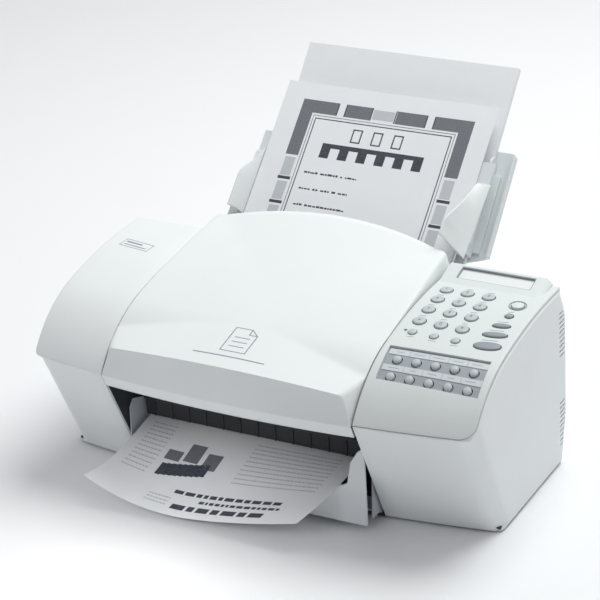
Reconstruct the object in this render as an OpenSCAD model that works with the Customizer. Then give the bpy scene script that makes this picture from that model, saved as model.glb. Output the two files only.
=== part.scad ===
// Desktop inkjet fax machine with a bowed front, a lift-up centre lid, a sloped control panel,
// a document feeder and a paper tray behind it.
// X runs to the machine's left as you face its back, -Y is the front, Z = 0 is the desk.

/* [Casing] */
// Overall width of the casing
body_w = 430; // [426:1:434]
// Depth position of the front nose edge at the middle
nose_y = -178; // [-180:1:-176]
// Height of the front nose edge
nose_z = 116; // [114:1:118]
// Depth position of the front edge at the desk
base_front_y = -124.5; // [-127:0.5:-122]
// Radius of the front curve above the nose
brow_r = 110; // [108:1:112]
// Radius of the shallow curve behind it on the end housings
crown_r = 415; // [405:5:425]
// Radius of the same curve on the raised lid
lid_crown_r = 1253; // [1200:1:1300]
// Radius of the bowed front, seen from above
bow_r = 1271; // [1200:1:1400]
// Wall thickness of the casing shells
wall = 3; // [2.5:0.1:3.5]

/* [Lid] */
// Left seam between lid and end housing
seam_left = -136.6; // [-138:0.1:-135]
// Right seam between lid and control panel
seam_right = 109.6; // [109:0.1:110]
// Gap along each seam
seam_gap = 0.8; // [0.6:0.1:1.2]
// Depth position of the middle of the lid's arched rear edge
lid_rear_y = 50; // [48:1:50]
// Radius of the arched rear edge, seen from above
lid_rear_r = 396; // [390:1:400]
// Crown height at the middle of the rear edge
lid_top_z = 196; // [194:1:197]
// Radius of the crown across the lid
lid_arch_r = 900; // [850:10:1000]

/* [Keys] */
// Diameter of a number key
key_d = 12; // [11:0.5:13]
// Height of a key above the panel
key_h = 2.2; // [1.8:0.1:2.6]
// Clearance around each key
key_gap = 0.35; // [0.3:0.05:0.5]
// Distance between number key columns
key_pitch_x = 19.9; // [19:0.1:20.5]
// Distance between number key rows
key_pitch_y = 18.4; // [18:0.1:19]
// Diameter of a one-touch key
touch_d = 9; // [8:0.5:10]
// Distance between one-touch keys
touch_pitch = 17; // [16:0.5:17]

/* [Paper] */
// Sheet width
sheet_w = 215.9; // [210:0.1:216]
// Sheet length
sheet_l = 279.4; // [279:0.1:280]
// Thickness of the stack in the paper tray
stack_t = 6; // [2:0.5:6]
// Lean of the paper tray from upright
stack_lean = 43.1; // [43:0.1:43.5]
// Lean of the document chute from upright
chute_lean = 48; // [47.5:0.1:48.5]

/* [Hidden] */
$fn = 64;

digit_names = ["1", "2", "3", "4", "5", "6", "7", "8", "9", "star", "0", "hash"];
number_names = [for (d = digit_names) str("number_key_", d)];
small_names = ["menu_key", "redial_key", "pause_key"];
side_names = ["stop_key", "copy_key", "enter_key", "start_key", "fax_key"];
touch_names = [for (i = [1:10]) str("one_touch_key_", i)];

shell_white = "#eef1f2";
shade_grey = "#c9ced3";
key_grey = "#b9bec4";
dark_grey = "#3b3f46";
steel = "#b0b4b8";

// ---- casing outline -------------------------------------------------------------------------
half_w = body_w / 2;
feet_h = 2;
axis_y = nose_y + bow_r;              // vertical axis that the bowed front turns about
nose_slope = 56.5;                    // slope of the front curve at the nose
break_slope = 13;                     // slope where the two curves meet
lid_end_slope = 5;
nose = [nose_y, nose_z];
break_point = nose + brow_r * [sin(nose_slope) - sin(break_slope), cos(break_slope) - cos(nose_slope)];
brow_centre = nose + brow_r * [sin(nose_slope), -cos(nose_slope)];
crown_centre = break_point + crown_r * [sin(break_slope), -cos(break_slope)];
top_z = crown_centre[1] + crown_r;
under_angle = atan((base_front_y - nose_y) / nose_z);
far_back = 120;

// End housings lean out to a flat rear between these heights
rear_top_y = 28;
rear_y = 41;
rear_low_z = 45;
rear_high_z = 145;

function arc_points(centre, r, a0, a1, n) =
    [for (i = [0:n]) let (a = a0 + (a1 - a0) * i / n) centre + r * [-sin(a), cos(a)]];

// Slope at which the inset front curve meets the inset undercut
function nose_end(inset) =
    under_angle + asin((brow_r * sin(nose_slope - under_angle) - inset) / (brow_r - inset));

function side_outline(inset, crown, end_slope) =
    let (c = break_point + crown * [sin(break_slope), -cos(break_slope)],
         top = arc_points(c, crown - inset, end_slope, break_slope, 7))
    concat([[far_back, -1], [far_back, top[0][1]]],
           top,
           arc_points(brow_centre, brow_r - inset, break_slope + 3, nose_end(inset), 13),
           [[base_front_y + inset / cos(under_angle) + tan(under_angle), -1]]);

module turned(outline)
    translate([0, axis_y, 0])
        rotate_extrude(angle = 26, start = 257, $fn = 256)
            translate([axis_y, 0]) mirror([1, 0]) polygon(outline);

module casing_form(inset = 0) turned(side_outline(inset, crown_r, 0));
module lid_form(inset = 0) turned(side_outline(inset, lid_crown_r, lid_end_slope));

// Box given by its two corners
module span(a, b) translate(a) cube(b - a);

// Extrudes a (y, z) outline along X from x0 to x1
module along_x(x0, x1)
    translate([x0, 0, 0]) rotate([90, 0, 90]) linear_extrude(x1 - x0) children();

// Height, slope and turn of the casing surface at a place in plan
function ring_y(x, y) = axis_y - norm([x, axis_y - y]);
function surface_slope(x, y) =
    let (r = ring_y(x, y))
    r < break_point[0] ? asin((brow_centre[0] - r) / brow_r)
    : r < crown_centre[0] ? asin((crown_centre[0] - r) / crown_r) : 0;
function surface_z(x, y) =
    let (s = surface_slope(x, y))
    ring_y(x, y) < break_point[0] ? brow_centre[1] + brow_r * cos(s) : crown_centre[1] + crown_r * cos(s);

// Places children on the casing surface with +Z along its outward normal
module on_surface(x, y, turn = 0)
    translate([x, y, surface_z(x, y)])
        rotate([0, 0, atan(x / (axis_y - y))]) rotate([surface_slope(x, y), 0, 0]) rotate([0, 0, turn])
            children();

// ---- end housings ---------------------------------------------------------------------------
module end_block(x0, x1, inset = 0)
    along_x(x0, x1)
        polygon([[-200, feet_h - 3 * inset], [-200, 200], [rear_top_y - inset, 200],
                 [rear_top_y - inset, top_z], [rear_y - inset, rear_high_z],
                 [rear_y - inset, rear_low_z], [rear_top_y + 2 - inset, feet_h - 3 * inset]]);

module end_shell(x0, x1)
    difference() {
        intersection() {
            casing_form();
            end_block(x0, x1);
        }
        intersection() {
            casing_form(wall);
            end_block(x0 + wall, x1 - wall, wall);
        }
        // Clears the base pan, which runs through under the inner wall
        intersection() {
            casing_form(wall);
            span([max(x0, -half_w + wall) - (x0 > 0 ? 1 : 0), -200, -1],
                 [min(x1, half_w - wall) + (x0 > 0 ? 0 : 1), 27, 5.02]);
        }
    }

hinge_y = 30;
hinge_z = 180;
feed_y = 14;
feed_z = 64.6;

module left_housing()
    color(shell_white) difference() {
        end_shell(-half_w, seam_left);
        for (x = [-188, -162]) span([x - 7, 30, 62], [x + 7, 50, 74]);
        for (i = [0:9]) span([-half_w - 1, 2, 96 + 5 * i], [-half_w + wall + 1, 30, 98 + 5 * i]);
    }

// ---- control panel --------------------------------------------------------------------------
panel_low_z = 117.5;
panel_corner_r = 12;
panel_right = half_w;

module panel_zone()
    difference() {
        translate([0, rear_top_y, 0]) rotate([90, 0, 0]) linear_extrude(220)
            union() {
                translate([seam_right, panel_low_z + panel_corner_r])
                    square([panel_right - seam_right, 80]);
                translate([seam_right, panel_low_z])
                    square([panel_right - seam_right - panel_corner_r, 80]);
                translate([panel_right - panel_corner_r, panel_low_z + panel_corner_r])
                    circle(panel_corner_r);
            }
        casing_form(wall);
    }

vent_count = 10;
vent_pitch = 4.6;

module vent_slots()
    for (low = [20, 108], i = [0:vent_count - 1])
        translate([half_w - 9, rear_y - 5, low + vent_pitch * i])
            rotate([0, 0, 45]) cube([30, 14, 2], center = true);

module right_housing()
    color(shell_white) difference() {
        end_shell(seam_right + seam_gap, half_w);
        panel_zone();
        vent_slots();
        translate([seam_right, feed_y, feed_z]) rotate([0, 90, 0]) cylinder(h = 10, r = 6);
        span([158, 30, 60], [182, 50, 74]);
    }

key_x = 125.5;
key_y = -14.8;
number_spots = [for (r = [0:3], c = [0:2]) [key_x + key_pitch_x * c, key_y - key_pitch_y * r]];
small_spots = [for (c = [0:2]) [key_x + 0.9 + key_pitch_x * c, -86.2]];
side_x = 194.5;
side_spots = [[side_x, -20], [side_x, -38.6], [side_x, -54.7], [side_x, -68.6], [side_x, -84.6]];
// Length and width of each key of the side column
side_sizes = [[12, 12], [8, 8], [16, 7], [22, 8], [24, 11]];
small_d = 8;
lamp_spot = [119.6, -85];

touch_spot = [161.7, -121];
touch_turn = -4;
touch_recess = [90, 37, 1.6];
touch_rows = [3.8, -14];
// The flanges of the lower row sit deeper, under the part of the panel that curves away
high_row_sink = 0.9;
low_row_sink = 1.9;
touch_spots = [for (y = touch_rows, c = [-2:2]) [touch_pitch * c + 0.4, y]];

// Stadium outline
module pill(size, grow = 0)
    let (r = size[1] / 2 + grow, run = (size[0] - size[1]) / 2)
    if (run == 0) circle(r);
    else union() {
        square([2 * run, 2 * r], center = true);
        for (s = [-1, 1]) translate([s * run, 0]) circle(r);
    }

module key_hole(size, deep = 12)
    translate([0, 0, -deep / 2]) linear_extrude(deep) pill(size, key_gap);

// Key with its cap above the panel and its flange and stem below it
module key_body(size, sink = 0) {
    flange_low = -wall - 1.9 - sink;
    translate([0, 0, flange_low + 0.5]) linear_extrude(key_h - flange_low - 0.5) pill(size);
    translate([0, 0, flange_low]) linear_extrude(1) pill(size, 1);
    translate([0, 0, flange_low - 1.2]) cylinder(h = 1.3, r = 1.6);
}

pod_front_y = -1;
pod_right = 207;
pod_top_z = 181;
pod_slope = atan((pod_top_z - top_z) / (rear_top_y - pod_front_y));
window_size = [70, 16, 1.2];
window_x = 159;
window_up = 17;                       // distance of the window's centre up the pod's slope

module on_pod()
    translate([window_x, pod_front_y, top_z]) rotate([pod_slope, 0, 0]) translate([0, window_up, 0])
        children();

module pod_block()
    along_x(seam_right + seam_gap, pod_right)
        polygon([[pod_front_y, top_z - 2], [pod_front_y, top_z], [rear_top_y, pod_top_z],
                 [rear_top_y, top_z - 2]]);

module control_panel()
    color(shell_white) difference() {
        union() {
            intersection() {
                casing_form();
                panel_zone();
                end_block(seam_right + seam_gap, half_w);
            }
            pod_block();
        }
        for (p = number_spots) on_surface(p[0], p[1]) key_hole([key_d, key_d]);
        for (p = small_spots) on_surface(p[0], p[1]) key_hole([small_d, small_d]);
        for (i = [0:4]) on_surface(side_spots[i][0], side_spots[i][1]) key_hole(side_sizes[i]);
        on_surface(lamp_spot[0], lamp_spot[1]) cylinder(h = 12, r = 1.2, center = true);
        on_surface(touch_spot[0], touch_spot[1], touch_turn) {
            translate([-touch_recess[0] / 2, -touch_recess[1] / 2, -touch_recess[2]])
                cube([touch_recess[0], touch_recess[1], 12]);
            for (p = touch_spots) translate([p[0], p[1], 0]) key_hole([touch_d, touch_d], 20);
        }
        on_pod() {
            translate([0, 0, 2 - window_size[2]]) cube([window_size[0], window_size[1], 4], center = true);
            cube([window_size[0] - 6, window_size[1] - 5, 30], center = true);
        }
    }

module display_window()
    color("#9aa79a") on_pod()
        translate([0, 0, -window_size[2] / 2 - 0.02])
            cube([window_size[0] - 0.4, window_size[1] - 0.4, window_size[2] - 0.04], center = true);

module keypad_circuit()
    color("#3f7a4d") union() {
        difference() {
            intersection() {
                casing_form(9);
                end_block(seam_right + 6, half_w - 6, 6);
                span([0, -150, 120], [300, -4, 200]);
            }
            casing_form(10.6);
        }
        on_pod() translate([0, 0, -5]) cube([window_size[0] - 8, window_size[1] - 7, 4], center = true);
    }

module number_key(i)
    color(key_grey) on_surface(number_spots[i][0], number_spots[i][1]) key_body([key_d, key_d]);
module small_key(i)
    color(key_grey) on_surface(small_spots[i][0], small_spots[i][1]) key_body([small_d, small_d]);
module side_key(i)
    color(key_grey) on_surface(side_spots[i][0], side_spots[i][1]) key_body(side_sizes[i]);
module one_touch_key(i)
    color(key_grey) on_surface(touch_spot[0], touch_spot[1], touch_turn)
        translate([touch_spots[i][0], touch_spots[i][1], 0])
            key_body([touch_d, touch_d], touch_spots[i][1] < 0 ? low_row_sink : high_row_sink);

// ---- centre lid -----------------------------------------------------------------------------
lid_x0 = seam_left + seam_gap;
lid_x1 = seam_right - seam_gap;
lid_mid = (lid_x0 + lid_x1) / 2;
lid_rise = 14;                        // height of the sloping cheeks above the end housings
lid_cheek_run = 6;
lid_lip_z = 103;
arch_slope = atan((lid_top_z - break_point[1]) / (lid_rear_y - break_point[0]));

module lid_solid(inset = 0)
    intersection() {
        union() {
            lid_form(inset);
            translate([lid_mid, lid_rear_y, lid_top_z - inset]) rotate([90 + arch_slope, 0, 0])
                translate([0, -lid_arch_r, -20]) cylinder(h = 180, r = lid_arch_r, $fn = 256);
        }
        translate([0, far_back, 0]) rotate([90, 0, 0]) linear_extrude(400)
            polygon([[lid_x0 + inset, 40], [lid_x0 + inset, top_z - 2],
                     [lid_x0 + inset + lid_cheek_run, top_z + lid_rise],
                     [lid_x0 + inset + lid_cheek_run, 240],
                     [lid_x1 - inset - lid_cheek_run, 240],
                     [lid_x1 - inset - lid_cheek_run, top_z + lid_rise],
                     [lid_x1 - inset, top_z - 2], [lid_x1 - inset, 40]]);
    }

module hinge_ear()
    difference() {
        along_x(tab_out + 0.5, tab_out + 3.1)
            polygon([[hinge_y - 4.5, hinge_z - 4.5], [hinge_y - 12, hinge_z + 4],
                     [hinge_y + 3, hinge_z + 5], [hinge_y + 4.5, hinge_z - 4.5]]);
        translate([tab_out - 1, hinge_y, hinge_z]) rotate([0, 90, 0]) cylinder(h = 5, r = 2.55);
    }

module top_lid()
    color(shell_white) union() {
        difference() {
            intersection() {
                lid_solid();
                translate([lid_mid, lid_rear_y - lid_rear_r, 0]) cylinder(h = 260, r = lid_rear_r, $fn = 256);
                span([-200, -200, lid_lip_z], [200, 100, 260]);
            }
            lid_solid(2.5);
            casing_form(12);
        }
        intersection() {
            translate([lid_mid, 0, 0]) for (m = [0, 1]) mirror([m, 0, 0]) hinge_ear();
            lid_solid(2);
        }
    }

// ---- feed geometry --------------------------------------------------------------------------
// Sheet planes are given by their top edge as (y, z) and the way down them
chute_top = [160, 274.7];
chute_dir = [-sin(chute_lean), -cos(chute_lean)];
document_x = -6;
document_l = 240;

// Places children in the chute's plane: X across, Y up the chute, Z out of its front
module on_chute()
    translate([document_x, chute_top[0], chute_top[1]]) rotate([90 - chute_lean, 0, 0]) children();

stack_top = [198, 301];
stack_x = -3.5;

// Places children on the front face of the paper stack, Y up the stack, Z out of its front
module on_stack()
    translate([stack_x, stack_top[0], stack_top[1]]) rotate([90 - stack_lean, 0, 0]) children();

module paper_stack()
    color("white") on_stack() translate([-sheet_w / 2, -sheet_l, -stack_t]) cube([sheet_w, sheet_l, stack_t]);

module document_sheet()
    color("white") on_chute() translate([-sheet_w / 2, -document_l, 0.1]) cube([sheet_w, document_l, 0.3]);

page_x = -20;
page_front_y = -(stack_top[0] + stack_t * cos(stack_lean));
page_level = 50;
page_turn = 30;
page_turn_r = 100;
page_drop_y = page_front_y + 4 + 2 * page_turn_r * sin(page_turn);

function reversed(list) = [for (i = [len(list) - 1:-1:0]) list[i]];
function page_path(h) = concat(
    [[feed_y - 4, page_level + h]],
    arc_points([page_drop_y, page_level - page_turn_r], page_turn_r + h, 0, page_turn, 6),
    [for (i = [6:-1:0]) let (a = page_turn * i / 6)
        [page_front_y + 4, page_level + page_turn_r * (2 * cos(page_turn) - 1)]
        + (page_turn_r - h) * [sin(a), -cos(a)]],
    [[page_front_y, page_level - 2 * page_turn_r * (1 - cos(page_turn)) + h]]);

module printed_page()
    color("white") along_x(page_x - sheet_w / 2, page_x + sheet_w / 2)
        polygon(concat(page_path(0), reversed(page_path(0.3))));

// ---- trays and guides -----------------------------------------------------------------------
module paper_tray()
    color(shade_grey) on_stack() {
        translate([-121.5, -190, -stack_t - 3.4]) cube([249, 110, 3]);
        translate([-121.5, -282.4, -stack_t - 3.4]) cube([226, 100, 3]);
        translate([124.5, -186, -stack_t - 1]) cube([3, 106, 5]);
        translate([-121.5, -282.4, -stack_t - 3.4]) cube([226, 2.5, 9]);
    }

module paper_width_guide()
    color(shade_grey) on_stack() {
        difference() {
            translate([108.6, -185, -stack_t - 0.1]) rotate([90, 0, 90]) linear_extrude(2.4)
                union() {
                    square([88, 15]);
                    translate([88, 7.5]) circle(7.5);
                }
            translate([100, -97, 1.4]) cube([20, 1, 8]);
        }
        translate([110, -180, -stack_t - 0.1]) cube([8, 76, 2]);
    }

chute_t = 2.5;
roller_s = 205;                       // distance of the document roller down the chute
roller_r = 8.3;
roller_h = -roller_r - 0.2;
roller_y = chute_top[0] + roller_s * chute_dir[0] - roller_h * cos(chute_lean);
roller_z = chute_top[1] + roller_s * chute_dir[1] + roller_h * sin(chute_lean);
cheek_out = lid_x1 - 3.2 - lid_mid;   // outer face of the chute's cheeks, from the lid's middle
tab_out = cheek_out - 6.1;

// Cheek beside the chute with the tab and pin that the lid turns on
module chute_cheek() {
    along_x(cheek_out - 3, cheek_out)
        polygon([[-34, 108], [-44, 120], [-44, 146], [-10, 152], [18, 170], [26, 170], [36, 166],
                 [38, 157], [-14, 108]]);
    span([tab_out - 3, 22, 166], [cheek_out - 2, 34, 170]);
    along_x(tab_out - 3, tab_out)
        polygon([[22, 167], [25.5, 180], [hinge_y - 2, hinge_z + 2.3], [hinge_y + 2, hinge_z + 2.3],
                 [34.5, 180], [34, 167]]);
    translate([tab_out - 1, hinge_y, hinge_z]) rotate([0, 90, 0]) cylinder(h = 3.3, r = 2.5);
}

module document_tray()
    color(shade_grey) difference() {
        union() {
            on_chute() {
                translate([-116, -134, -chute_t - 0.3]) cube([236, 80, chute_t]);
                translate([lid_mid - cheek_out + 2 - document_x, -242.3, -chute_t - 0.3])
                    cube([2 * cheek_out - 4, 112, chute_t]);
                translate([-sheet_w / 2, -242.3, -chute_t - 0.3]) cube([sheet_w, 2, chute_t + 2]);
            }
            translate([lid_mid, 0, 0]) for (m = [0, 1]) mirror([m, 0, 0]) chute_cheek();
        }
        on_chute() translate([-112, -roller_s - 9, -4]) cube([212, 18, 8]);
        translate([-140, roller_y, roller_z]) rotate([0, 90, 0]) cylinder(h = 260, r = 3.05);
    }

// Document edge guide; its fence stands just outside the sheet's edge
module document_guide(side)
    color(shell_white) on_chute()
        translate([side * (sheet_w / 2 + 0.6), 0, 0]) mirror([side > 0 ? 0 : 1, 0, 0]) {
            rotate([90, 0, 90]) linear_extrude(2.4)
                polygon([[-138, 0.1], [-138, 4], [-120, 20], [-92, 16], [-72, 9], [-70, 0.1]]);
            translate([0, -136, 0.1]) cube([7, 62, 1.6]);
        }

// Roller along X with rubber tyres at the given places
module roller(y, z, tyre_r, x0, x1, tyres, tyre_w)
    translate([0, y, z]) rotate([0, 90, 0]) union() {
        translate([0, 0, x0]) cylinder(h = x1 - x0, r = 3);
        for (x = tyres) translate([0, 0, x - tyre_w / 2]) cylinder(h = tyre_w, r = tyre_r);
    }

exit_y = -88;
exit_tyre_r = 5.7;
exit_z = page_level - exit_tyre_r - 0.4;
feed_tyre_r = 14;

module document_roller()
    color(dark_grey) roller(roller_y, roller_z, roller_r, -132.6, 105.6, [-90, -13, 64], 40);
module feed_roller()
    color(dark_grey) roller(feed_y, feed_z, feed_tyre_r, -134, 118, [-85, -13, 59], 34);
module exit_roller()
    color(dark_grey) roller(exit_y, exit_z, exit_tyre_r, -134, 107, [-100, -42, 16, 74], 12);

module scan_bar()
    color(dark_grey) union() {
        on_chute() translate([-123.5, -196, 1]) cube([231.9, 18, 11]);
        on_chute() translate([-100, -193, 11]) cube([190, 12, 3]);
    }

// ---- base and mechanism ---------------------------------------------------------------------
plate_left = -134;
plate_right = 104;
plate_t = 3;
screw_spots = [for (x = [-196, 196], y = [-60, -20]) [x, y]];
rod_y = -50;
rod_z = 84;
rod_r = 4;

module side_plate(x)
    difference() {
        along_x(x, x + plate_t)
            polygon([[-100, 5], [-96, 60], [-72, 107.7], [-6, 107.7], [0, 88], [41, 72], [41, 5]]);
        translate([x - 1, rod_y, rod_z]) rotate([0, 90, 0]) cylinder(h = 5, r = rod_r + 0.03);
        translate([x - 1, feed_y, feed_z]) rotate([0, 90, 0]) cylinder(h = 5, r = 3.05);
        translate([x - 1, exit_y, exit_z]) rotate([0, 90, 0]) cylinder(h = 5, r = 3.05);
    }

module base_chassis()
    color(shade_grey) union() {
        difference() {
            intersection() {
                casing_form(wall + 0.3);
                span([-half_w + wall + 0.3, -200, feet_h], [half_w - wall - 0.3, 26, 5]);
            }
            for (p = screw_spots) translate([p[0], p[1], 0]) cylinder(h = 10, r = 1.45);
        }
        intersection() {
            casing_form();
            span([seam_left + 0.3, -200, feet_h], [seam_right + seam_gap - 0.3, 24, 5]);
        }
        span([seam_left + 3.7, 20, feet_h], [seam_right - 3.3, 62, 5]);
        side_plate(plate_left);
        side_plate(plate_right);
        difference() {
            span([plate_left, -80, 38], [plate_right + plate_t, -10, 49.5]);
            span([plate_left + 4, -76, 30], [plate_right - 2, -14, 46]);
        }
    }

module output_tray()
    color(shade_grey) union() {
        intersection() {
            casing_form(1);
            span([-134.5, -200, 5], [107.5, -104, 8]);
        }
        for (side = [0, 1]) translate([side ? 107.5 : -134.5, 0, 0]) mirror([side, 0, 0])
            intersection() {
                along_x(0, 3.2) polygon([[-137, 8], [-134, 66], [-128, 72], [-101, 62], [-101, 8]]);
                translate([0, 0, 5]) rotate([0, -1, 0]) cube([3, 400, 160], center = true);
            }
    }

module rear_cover()
    color(shell_white) difference() {
        along_x(seam_left + 0.4, seam_right)
            polygon([[41.5, feet_h], [64, feet_h], [72, 12], [72, 143], [41.5, 111]]);
        along_x(seam_left + 3.4, seam_right - 3)
            polygon([[30, 1], [62.4, 1], [69, 13], [69, 136], [41, 106], [30, 106]]);
        for (i = [0:11]) span([-70 + 10 * i, 60, 60], [-66 + 10 * i, 80, 90]);
    }

carriage_x = 60;
carriage_half = 35;

module print_carriage()
    color(dark_grey) difference() {
        span([carriage_x - carriage_half, -86, 54], [carriage_x + carriage_half, -42, 108]);
        span([carriage_x - 27, -83, 57], [carriage_x + 27, -57, 120]);
        span([carriage_x - 20, -80, 50], [carriage_x + 20, -60, 60]);
        translate([carriage_x - 60, rod_y, rod_z]) rotate([0, 90, 0]) cylinder(h = 120, r = rod_r + 0.05);
    }

module ink_cartridge()
    color("#24272c") union() {
        for (x = [-26, 1]) span([carriage_x + x, -82, 60.2], [carriage_x + x + 25, -58, 106]);
        for (x = [-18, 2]) span([carriage_x + x, -78, 51.6], [carriage_x + x + 16, -62, 60.2]);
    }

module carriage_rod()
    color(steel) translate([plate_left - 1, rod_y, rod_z]) rotate([0, 90, 0])
        cylinder(h = plate_right + plate_t - plate_left + 2, r = rod_r);

belt_y = -22;
belt_x0 = -110;
belt_x1 = 88;
belt_r = 6;

module belt_outline(r)
    union() {
        for (x = [belt_x0, belt_x1]) translate([x, belt_y]) circle(r);
        translate([belt_x0, belt_y - r]) square([belt_x1 - belt_x0, 2 * r]);
    }

module drive_belt()
    color(dark_grey) translate([0, 0, 92]) linear_extrude(6)
        difference() {
            belt_outline(belt_r + 1.2);
            belt_outline(belt_r);
        }

module stepper_motors()
    color(steel) union() {
        translate([belt_x0, belt_y, 62]) cylinder(h = 26, r = 17);
        translate([belt_x0, belt_y, 87]) cylinder(h = 13, r = belt_r - 0.1);
        translate([belt_x1, belt_y, 87]) cylinder(h = 13, r = belt_r - 0.1);
        span([belt_x1 - 4, belt_y - 4, 84], [plate_right - 0.02, belt_y + 4, 88]);
        span([plate_left + plate_t + 0.02, belt_y - 8, 62], [belt_x0, belt_y + 8, 66]);
        difference() {
            translate([116, feed_y, feed_z]) rotate([0, 90, 0]) cylinder(h = 26, r = 18);
            translate([115, feed_y, feed_z]) rotate([0, 90, 0]) cylinder(h = 5, r = 3.05);
        }
    }

module main_board()
    color("#3f7a4d") union() {
        span([-208, 33, 36], [-144, 34.6, 126]);
        for (x = [-188, -162]) difference() {
            span([x - 6.8, 34.6, 62.2], [x + 6.8, 41, 73.8]);
            span([x - 4.8, 36.5, 64.2], [x + 4.8, 42, 71.8]);
        }
        for (z = [40, 60, 84, 104]) span([-200, 26, z], [-180, 33, z + 14]);
        for (x = [-170, -156]) translate([x, 33, 100]) rotate([90, 0, 0]) cylinder(h = 22, r = 6);
    }

module power_inlet()
    color(dark_grey) union() {
        difference() {
            span([158.2, 18, 60.2], [181.8, 41, 73.8]);
            span([161, 24, 63], [179, 42, 71]);
        }
        for (x = [166, 174]) translate([x, 39, 67]) rotate([90, 0, 0]) cylinder(h = 16, r = 1.2);
    }

module rubber_feet()
    color(dark_grey) for (x = [-185, 185], y = [-90, 12])
        translate([x, y, 0]) cylinder(h = feet_h, r = 8);

module screws()
    color(steel) for (p = screw_spots)
        translate([p[0], p[1], feet_h + 3]) union() {
            cylinder(h = 1.8, r = 3);
            translate([0, 0, -2.2]) cylinder(h = 2.3, r = 1.4);
        }

base_chassis();
left_housing();
right_housing();
rear_cover();
top_lid();
control_panel();
display_window();
keypad_circuit();
output_tray();
paper_tray();
paper_width_guide();
document_tray();
document_guide(-1);  // document_guide_left
document_guide(1);  // document_guide_right
document_roller();
scan_bar();
feed_roller();
exit_roller();
print_carriage();
ink_cartridge();
carriage_rod();
drive_belt();
stepper_motors();
main_board();
power_inlet();
rubber_feet();
screws();
paper_stack();
document_sheet();
printed_page();
for (i = [0:11]) number_key(i);
for (i = [0:2]) small_key(i);
for (i = [0:4]) side_key(i);
for (i = [0:9]) one_touch_key(i);
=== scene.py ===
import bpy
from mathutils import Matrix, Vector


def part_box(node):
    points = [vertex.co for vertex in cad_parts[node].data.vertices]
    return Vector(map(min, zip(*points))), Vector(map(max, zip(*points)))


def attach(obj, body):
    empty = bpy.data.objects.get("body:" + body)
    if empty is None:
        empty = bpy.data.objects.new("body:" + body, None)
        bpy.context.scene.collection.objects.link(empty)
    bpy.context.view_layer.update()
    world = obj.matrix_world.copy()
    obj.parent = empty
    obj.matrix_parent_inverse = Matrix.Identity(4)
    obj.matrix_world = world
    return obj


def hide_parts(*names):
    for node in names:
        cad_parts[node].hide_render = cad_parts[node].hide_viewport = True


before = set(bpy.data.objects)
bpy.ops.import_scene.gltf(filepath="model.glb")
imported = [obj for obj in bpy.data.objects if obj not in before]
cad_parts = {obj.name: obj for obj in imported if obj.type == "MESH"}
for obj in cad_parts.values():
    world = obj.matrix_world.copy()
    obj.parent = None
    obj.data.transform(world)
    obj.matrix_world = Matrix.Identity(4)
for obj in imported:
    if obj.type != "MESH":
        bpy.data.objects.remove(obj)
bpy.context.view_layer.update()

import math
import random

import bmesh
import bpy
from mathutils import Matrix, Vector

# Lengths below are in millimetres and angles in degrees; mesh_piece() turns them into metres.
MM = 0.001
INK_T = 0.04
INK_LIFT = 0.2
random.seed(36)


def sin(a):
    return math.sin(math.radians(a))


def cos(a):
    return math.cos(math.radians(a))


def lerp(a, b, t):
    return a + (b - a) * t


def smooth(t):
    t = min(max(t, 0.0), 1.0)
    return t * t * (3 - 2 * t)


def spread(a, b, n):
    return [lerp(a, b, i / n) for i in range(n + 1)]


def bent(a, pull, b, t):
    """A place on the curve from a to b that starts and ends towards pull."""
    return a * (1 - t) ** 2 + pull * 2 * t * (1 - t) + b * t * t


def box_mm(node):
    lo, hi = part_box(node)
    return Vector(lo) / MM, Vector(hi) / MM


# ---- camera ---------------------------------------------------------------------------------
AZIMUTH, ELEVATION, ROLL = 29.29, 25.62, -3.39
LENS = 144.18
DISTANCE = 2129.9
TARGET = Vector((-7.35, -38.0, 151.62))


def make_camera():
    back = Vector((sin(AZIMUTH) * cos(ELEVATION), -cos(AZIMUTH) * cos(ELEVATION), sin(ELEVATION)))
    across = Vector((0, 0, 1)).cross(back).normalized()
    up = back.cross(across)
    right = cos(ROLL) * across + sin(ROLL) * up
    top = cos(ROLL) * up - sin(ROLL) * across
    place = (TARGET + back * DISTANCE) * MM
    data = bpy.data.cameras.new("camera")
    data.lens = LENS
    data.sensor_width = 36.0
    data.clip_end = 50.0
    camera = bpy.data.objects.new("camera", data)
    rows = [[right[i], top[i], back[i], place[i]] for i in range(3)] + [[0, 0, 0, 1]]
    camera.matrix_world = Matrix(rows)
    bpy.context.scene.collection.objects.link(camera)
    bpy.context.scene.camera = camera


make_camera()


# ---- materials ------------------------------------------------------------------------------
def fill(node, inputs):
    """Sets inputs by name, with underscores for the spaces in a name."""
    for key, value in inputs.items():
        node.inputs[key.replace("_", " ")].default_value = value
    return node


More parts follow.
